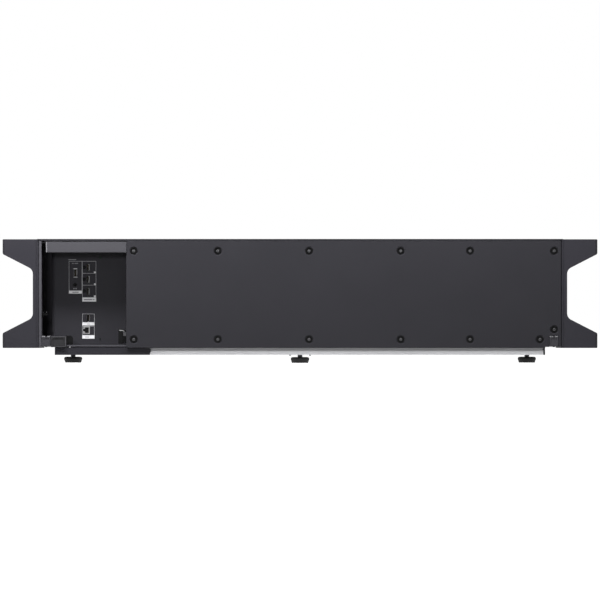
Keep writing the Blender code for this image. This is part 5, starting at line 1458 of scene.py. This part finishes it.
def makeInlet():
    low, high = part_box("ac_inlet")
    centre = (low + high) / 2
    faceX = low.x
    bm = bmesh.new()
    flange = roundedBox((low.y, low.z), (high.y, high.z), 2.6 * mm)
    addPrism(bm, flange, "YZ", low.x, low.x + 9.4 * mm, 0.7 * mm)
    piece = looseObject(bm, "mainsInlet")
    neck = bmesh.new()
    addPrism(neck, roundedBox((centre.y - 11 * mm, centre.z - 13.5 * mm), (centre.y + 11 * mm, centre.z + 13.5 * mm), 2 * mm),
             "YZ", low.x + 9 * mm, high.x)
    carve(piece, neck, "UNION")
    cutters = bmesh.new()
    mouth = arcs([
        (centre.y - 8.2 * mm, centre.z - 12.2 * mm, 1 * mm), (centre.y + 4.4 * mm, centre.z - 12.2 * mm, 1 * mm),
        (centre.y + 8.2 * mm, centre.z - 7.4 * mm, 1 * mm), (centre.y + 8.2 * mm, centre.z + 7.4 * mm, 1 * mm),
        (centre.y + 4.4 * mm, centre.z + 12.2 * mm, 1 * mm), (centre.y - 8.2 * mm, centre.z + 12.2 * mm, 1 * mm),
    ], 4)
    addPrism(cutters, mouth, "YZ", faceX - 5 * mm, faceX + 16 * mm)
    carve(piece, cutters)
    finishPiece(piece, cupRubber, replaces=("ac_inlet",))
    pins = bmesh.new()
    for dy, dz in ((0, 0), (2.5 * mm, 7 * mm), (2.5 * mm, -7 * mm)):
        addBox(pins, (faceX + 3.5 * mm, centre.y + dy - 2 * mm, centre.z + dz - 1 * mm),
               (faceX + 16.5 * mm, centre.y + dy + 2 * mm, centre.z + dz + 1 * mm), 0.3 * mm, 2)
    finishPiece(looseObject(pins, "inletPins"), nickelPlate)
    pivotLow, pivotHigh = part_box("plug_holder")
    pivot = Vector((pivotHigh.x - inlet["wire"], centre.y, pivotLow.z - 0.6 * mm))
    arm = (pivotHigh.y - pivotLow.y) / 2 - inlet["wire"]
    route = [(0, -arm, -0.4 * mm), (0, -arm, 2 * mm), (-2.4 * mm, -arm, 5.6 * mm), (-inlet["reach"], -arm, 6.2 * mm)]
    route += [(x, -y, z) for x, y, z in reversed(route)]
    path = bentPath([pivot + Vector(spot) for spot in route], 1.6 * mm)
    wire = wirePiece("plugHolder", path, inlet["wire"])
    finishPiece(wire, wireSteel, body="plug_holder_bail", replaces=("plug_holder",))
    lugs = bmesh.new()
    for side in (-1, 1):
        y = centre.y + side * (arm + 1.9 * mm)
        addBox(lugs, (pivot.x - 3 * mm, y - 0.5 * mm, pivot.z - 6 * mm), (pivot.x + 3 * mm, y + 0.5 * mm, pivot.z + 2.6 * mm), 0.4 * mm, 2)
    finishPiece(looseObject(lugs, "holderLugs"), screwBlack)


makeBracket("cabinetBracketLeft", "cabinet_bracket_left", -1)
makeBracket("cabinetBracketRight", "cabinet_bracket_right", 1)
makeCableGuide()
makeInlet()
print("brackets and inlet made")

# Buttons on the right side frame

button = {"edge": 0.7 * mm, "dish": 0.5 * mm}


def makeButton(name, node):
    low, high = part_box(node)
    centre = (low + high) / 2
    radius = (high.y - low.y) / 2
    length = high.x - low.x
    dish = [(radius - button["edge"] - 0.3 * mm, length), ((radius - button["edge"]) * 0.6, length - button["dish"] * 0.7),
            (0, length - button["dish"])]
    profile = [(0, 0), (radius, 0), (radius, length - button["edge"]),
               (radius - 0.2 * mm, length - 0.2 * mm), (radius - button["edge"], length), *dish]
    bm = bmesh.new()
    addTurned(bm, profile, (low.x, centre.y, centre.z), "X", 48)
    finishPiece(looseObject(bm, name), satinPlastic, body=node + "_cap", replaces=(node,))


for name, node in (("powerButton", "power_button"), ("inputButton", "input_button"), ("menuButton", "menu_button")):
    makeButton(name, node)
print("buttons made")

# Optics: barrel, lens and mirror

lens = {"front": 57 * mm, "barrel": 48 * mm, "length": 141 * mm, "cup": 14 * mm}


def makeLens():
    low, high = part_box("lens_barrel")
    centre = (low + high) / 2
    front, barrel, length, cup = lens["front"], lens["barrel"], lens["length"], lens["cup"]
    seat = barrel - 1 * mm
    profile = [(0, length - cup), (seat, length - cup)]
    for step in range(5):
        # stepped baffle rings inside the mouth
        z = length - cup + (step + 1) * cup / 6
        radius = seat + (step + 1) * 0.5 * mm
        profile += [(radius - 0.5 * mm, z), (radius, z)]
    profile += [(seat + 3 * mm, length - 0.5 * mm), (seat + 3.5 * mm, length), (front - 1 * mm, length), (front, length - 1 * mm)]
    for groove in range(6):
        z = length - 6 * mm - groove * 4 * mm
        profile += [(front, z), (front - 0.8 * mm, z - 0.8 * mm), (front - 0.8 * mm, z - 1.6 * mm), (front, z - 2.4 * mm)]
    profile += [(front, length - 34 * mm), (barrel, length - 50 * mm), (barrel, 40 * mm), (barrel - 6 * mm, 34 * mm),
                (barrel - 6 * mm, 0), (0, 0)]
    bm = bmesh.new()
    addTurned(bm, profile, (0, low.y, centre.z), "Y", 72)
    finishPiece(looseObject(bm, "lensBarrel"), blackPlastic, replaces=("lens_barrel",))
    glassLow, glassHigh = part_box("front_lens")
    radius, bulge = (glassHigh.x - glassLow.x) / 2, glassHigh.y - glassLow.y
    dome = [(radius * math.sin(a), 2 * mm + (bulge - 2 * mm) * math.cos(a)) for a in
            (math.pi / 2 * step / 14 for step in range(15))]
    bm = bmesh.new()
    addTurned(bm, [*dome, (radius, 0), (0, 0)], (0, glassLow.y, centre.z), "Y", 72)
    finishPiece(looseObject(bm, "frontLens"), lensCoating, replaces=("front_lens",))


def makeMirror():
    # the same hollow surface as the solid's, on a finer grid
    low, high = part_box("projection_mirror")
    width, height, bow, tilt = 176 * mm, 128 * mm, 110 * mm, math.radians(32)
    bm = bmesh.new()
    bmesh.ops.create_grid(bm, x_segments=36, y_segments=28, size=0.5)
    for vert in bm.verts:
        u, v = vert.co.x * width, vert.co.y * height
        vert.co = (u, v, (u * u + v * v) / (4 * bow))
    back = bmesh.ops.extrude_face_region(bm, geom=bm.faces[:], use_keep_orig=True)["geom"]
    lower = [item for item in back if isinstance(item, bmesh.types.BMVert)]
    bmesh.ops.translate(bm, verts=lower, vec=(0, 0, -4.6 * mm))
    bmesh.ops.recalc_face_normals(bm, faces=bm.faces)
    lean = Matrix.Rotation(math.pi / 2 - tilt, 4, "X")
    bmesh.ops.transform(bm, verts=bm.verts, matrix=lean)
    shift = low.y - min(vert.co.y for vert in bm.verts)
    drop = low.z - min(vert.co.z for vert in bm.verts)
    bmesh.ops.translate(bm, verts=bm.verts, vec=(0, shift, drop))
    finishPiece(looseObject(bm, "projectionMirror"), mirrorFinish, replaces=("projection_mirror",), sharp=50)


makeLens()
makeMirror()
print("optics made")

# Nodes whose shape is right keep it and take a finish

carried = {
    "bottom_plate": litWallCoat, "side_wall_left": litWallCoat, "side_wall_right": litWallCoat, "bay_housing": litHousingCoat,
    "io_board": board, "main_board": board, "power_supply": zinc, "laser_module": cast, "optical_engine": cast,
    "mirror_mount": cast, "laser_heatsink": sinkFinish, "focus_motor": zinc, "focus_ring": satinPlastic,
    "focus_pinion": nickelPlate,
}
for node, material in carried.items():
    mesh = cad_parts[node].data
    mesh.materials.clear()
    mesh.materials.append(material)
print("carried nodes finished:", len(carried))

# Stage: floor, light and camera

stageSet = {
    "floorHalf": 60.0, "distance": 24.0, "viewWidth": 1.2572, "sensor": 36.0, "eyeHeight": 0.05, "frameMiddle": 0.1321,
    "worldSeen": 1.0, "worldLight": 0.13, "floorGlow": 1.0,
}


def makeFloor():
    bm = bmesh.new()
    bmesh.ops.create_grid(bm, x_segments=1, y_segments=1, size=stageSet["floorHalf"])
    floor = looseObject(bm, "floor")
    finish = Finish("floorPaper", Specular_IOR_Level=0.2)
    tooth = finish.place.noise(300, detail=2)
    finish.put("Base Color", tooth.blend((0.34, 0.34, 0.34), (0.38, 0.38, 0.38)))
    finish.put("Roughness", 0.9)
    finish.put("Emission Color", (1, 1, 1))
    finish.put("Emission Strength", stageSet["floorGlow"])
    floor.data.materials.append(finish.material)
    floor.visible_diffuse = False  # the floor doesn't light the object from below


def makeWorld():
    # even white surroundings, dimmer as a light than as a backdrop
    world = bpy.data.worlds.new("studio")
    bpy.context.scene.world = world
    world.use_nodes = True
    tree = world.node_tree
    background = tree.nodes["Background"]
    background.inputs["Color"].default_value = (1, 1, 1, 1)
    start = Wire(tree, tree.nodes.new("ShaderNodeLightPath").outputs["Is Camera Ray"])
    level = stageSet["worldLight"] + start * (stageSet["worldSeen"] - stageSet["worldLight"])
    tree.links.new(level.socket, background.inputs["Strength"])


def makeSoftbox(name, spot, aim, size, power, glint=True):
    light = bpy.data.lights.new(name, "AREA")
    light.shape = "RECTANGLE"
    light.size, light.size_y = size
    light.energy = power
    lamp = bpy.data.objects.new(name, light)
    lamp.location = spot
    lamp.rotation_euler = (Vector(aim) - Vector(spot)).to_track_quat("-Z", "Y").to_euler()
    lamp.visible_glossy = glint
    bpy.context.scene.collection.objects.link(lamp)


def makeCamera():
    camera = bpy.data.cameras.new("camera")
    camera.sensor_width = stageSet["sensor"]
    camera.lens = stageSet["sensor"] * stageSet["distance"] / stageSet["viewWidth"]
    camera.shift_y = (stageSet["frameMiddle"] - stageSet["eyeHeight"]) / stageSet["viewWidth"]
    camera.clip_start, camera.clip_end = 0.1, 300
    holder = bpy.data.objects.new("camera", camera)
    rear = cadBounds[0][1]
    holder.location = (0, rear - stageSet["distance"], stageSet["eyeHeight"])
    holder.rotation_euler = (math.pi / 2, 0, 0)
    bpy.context.scene.collection.objects.link(holder)
    bpy.context.scene.camera = holder


makeFloor()
makeWorld()
makeSoftbox("frontLight", (-1.0, -4.5, 0.78), (-0.1, -0.27, 0.15), (0.45, 0.45), 67, glint=False)
makeSoftbox("topLeft", (-0.62, -0.62, 0.86), (-0.5, -0.27, 0.12), (0.5, 0.14), 14.5, glint=False)
makeSoftbox("topRight", (0.32, -0.66, 0.9), (0.32, -0.27, 0.12), (0.9, 0.14), 14, glint=False)
makeCamera()
bpy.context.scene.view_settings.view_transform = "Standard"
print("stage made")
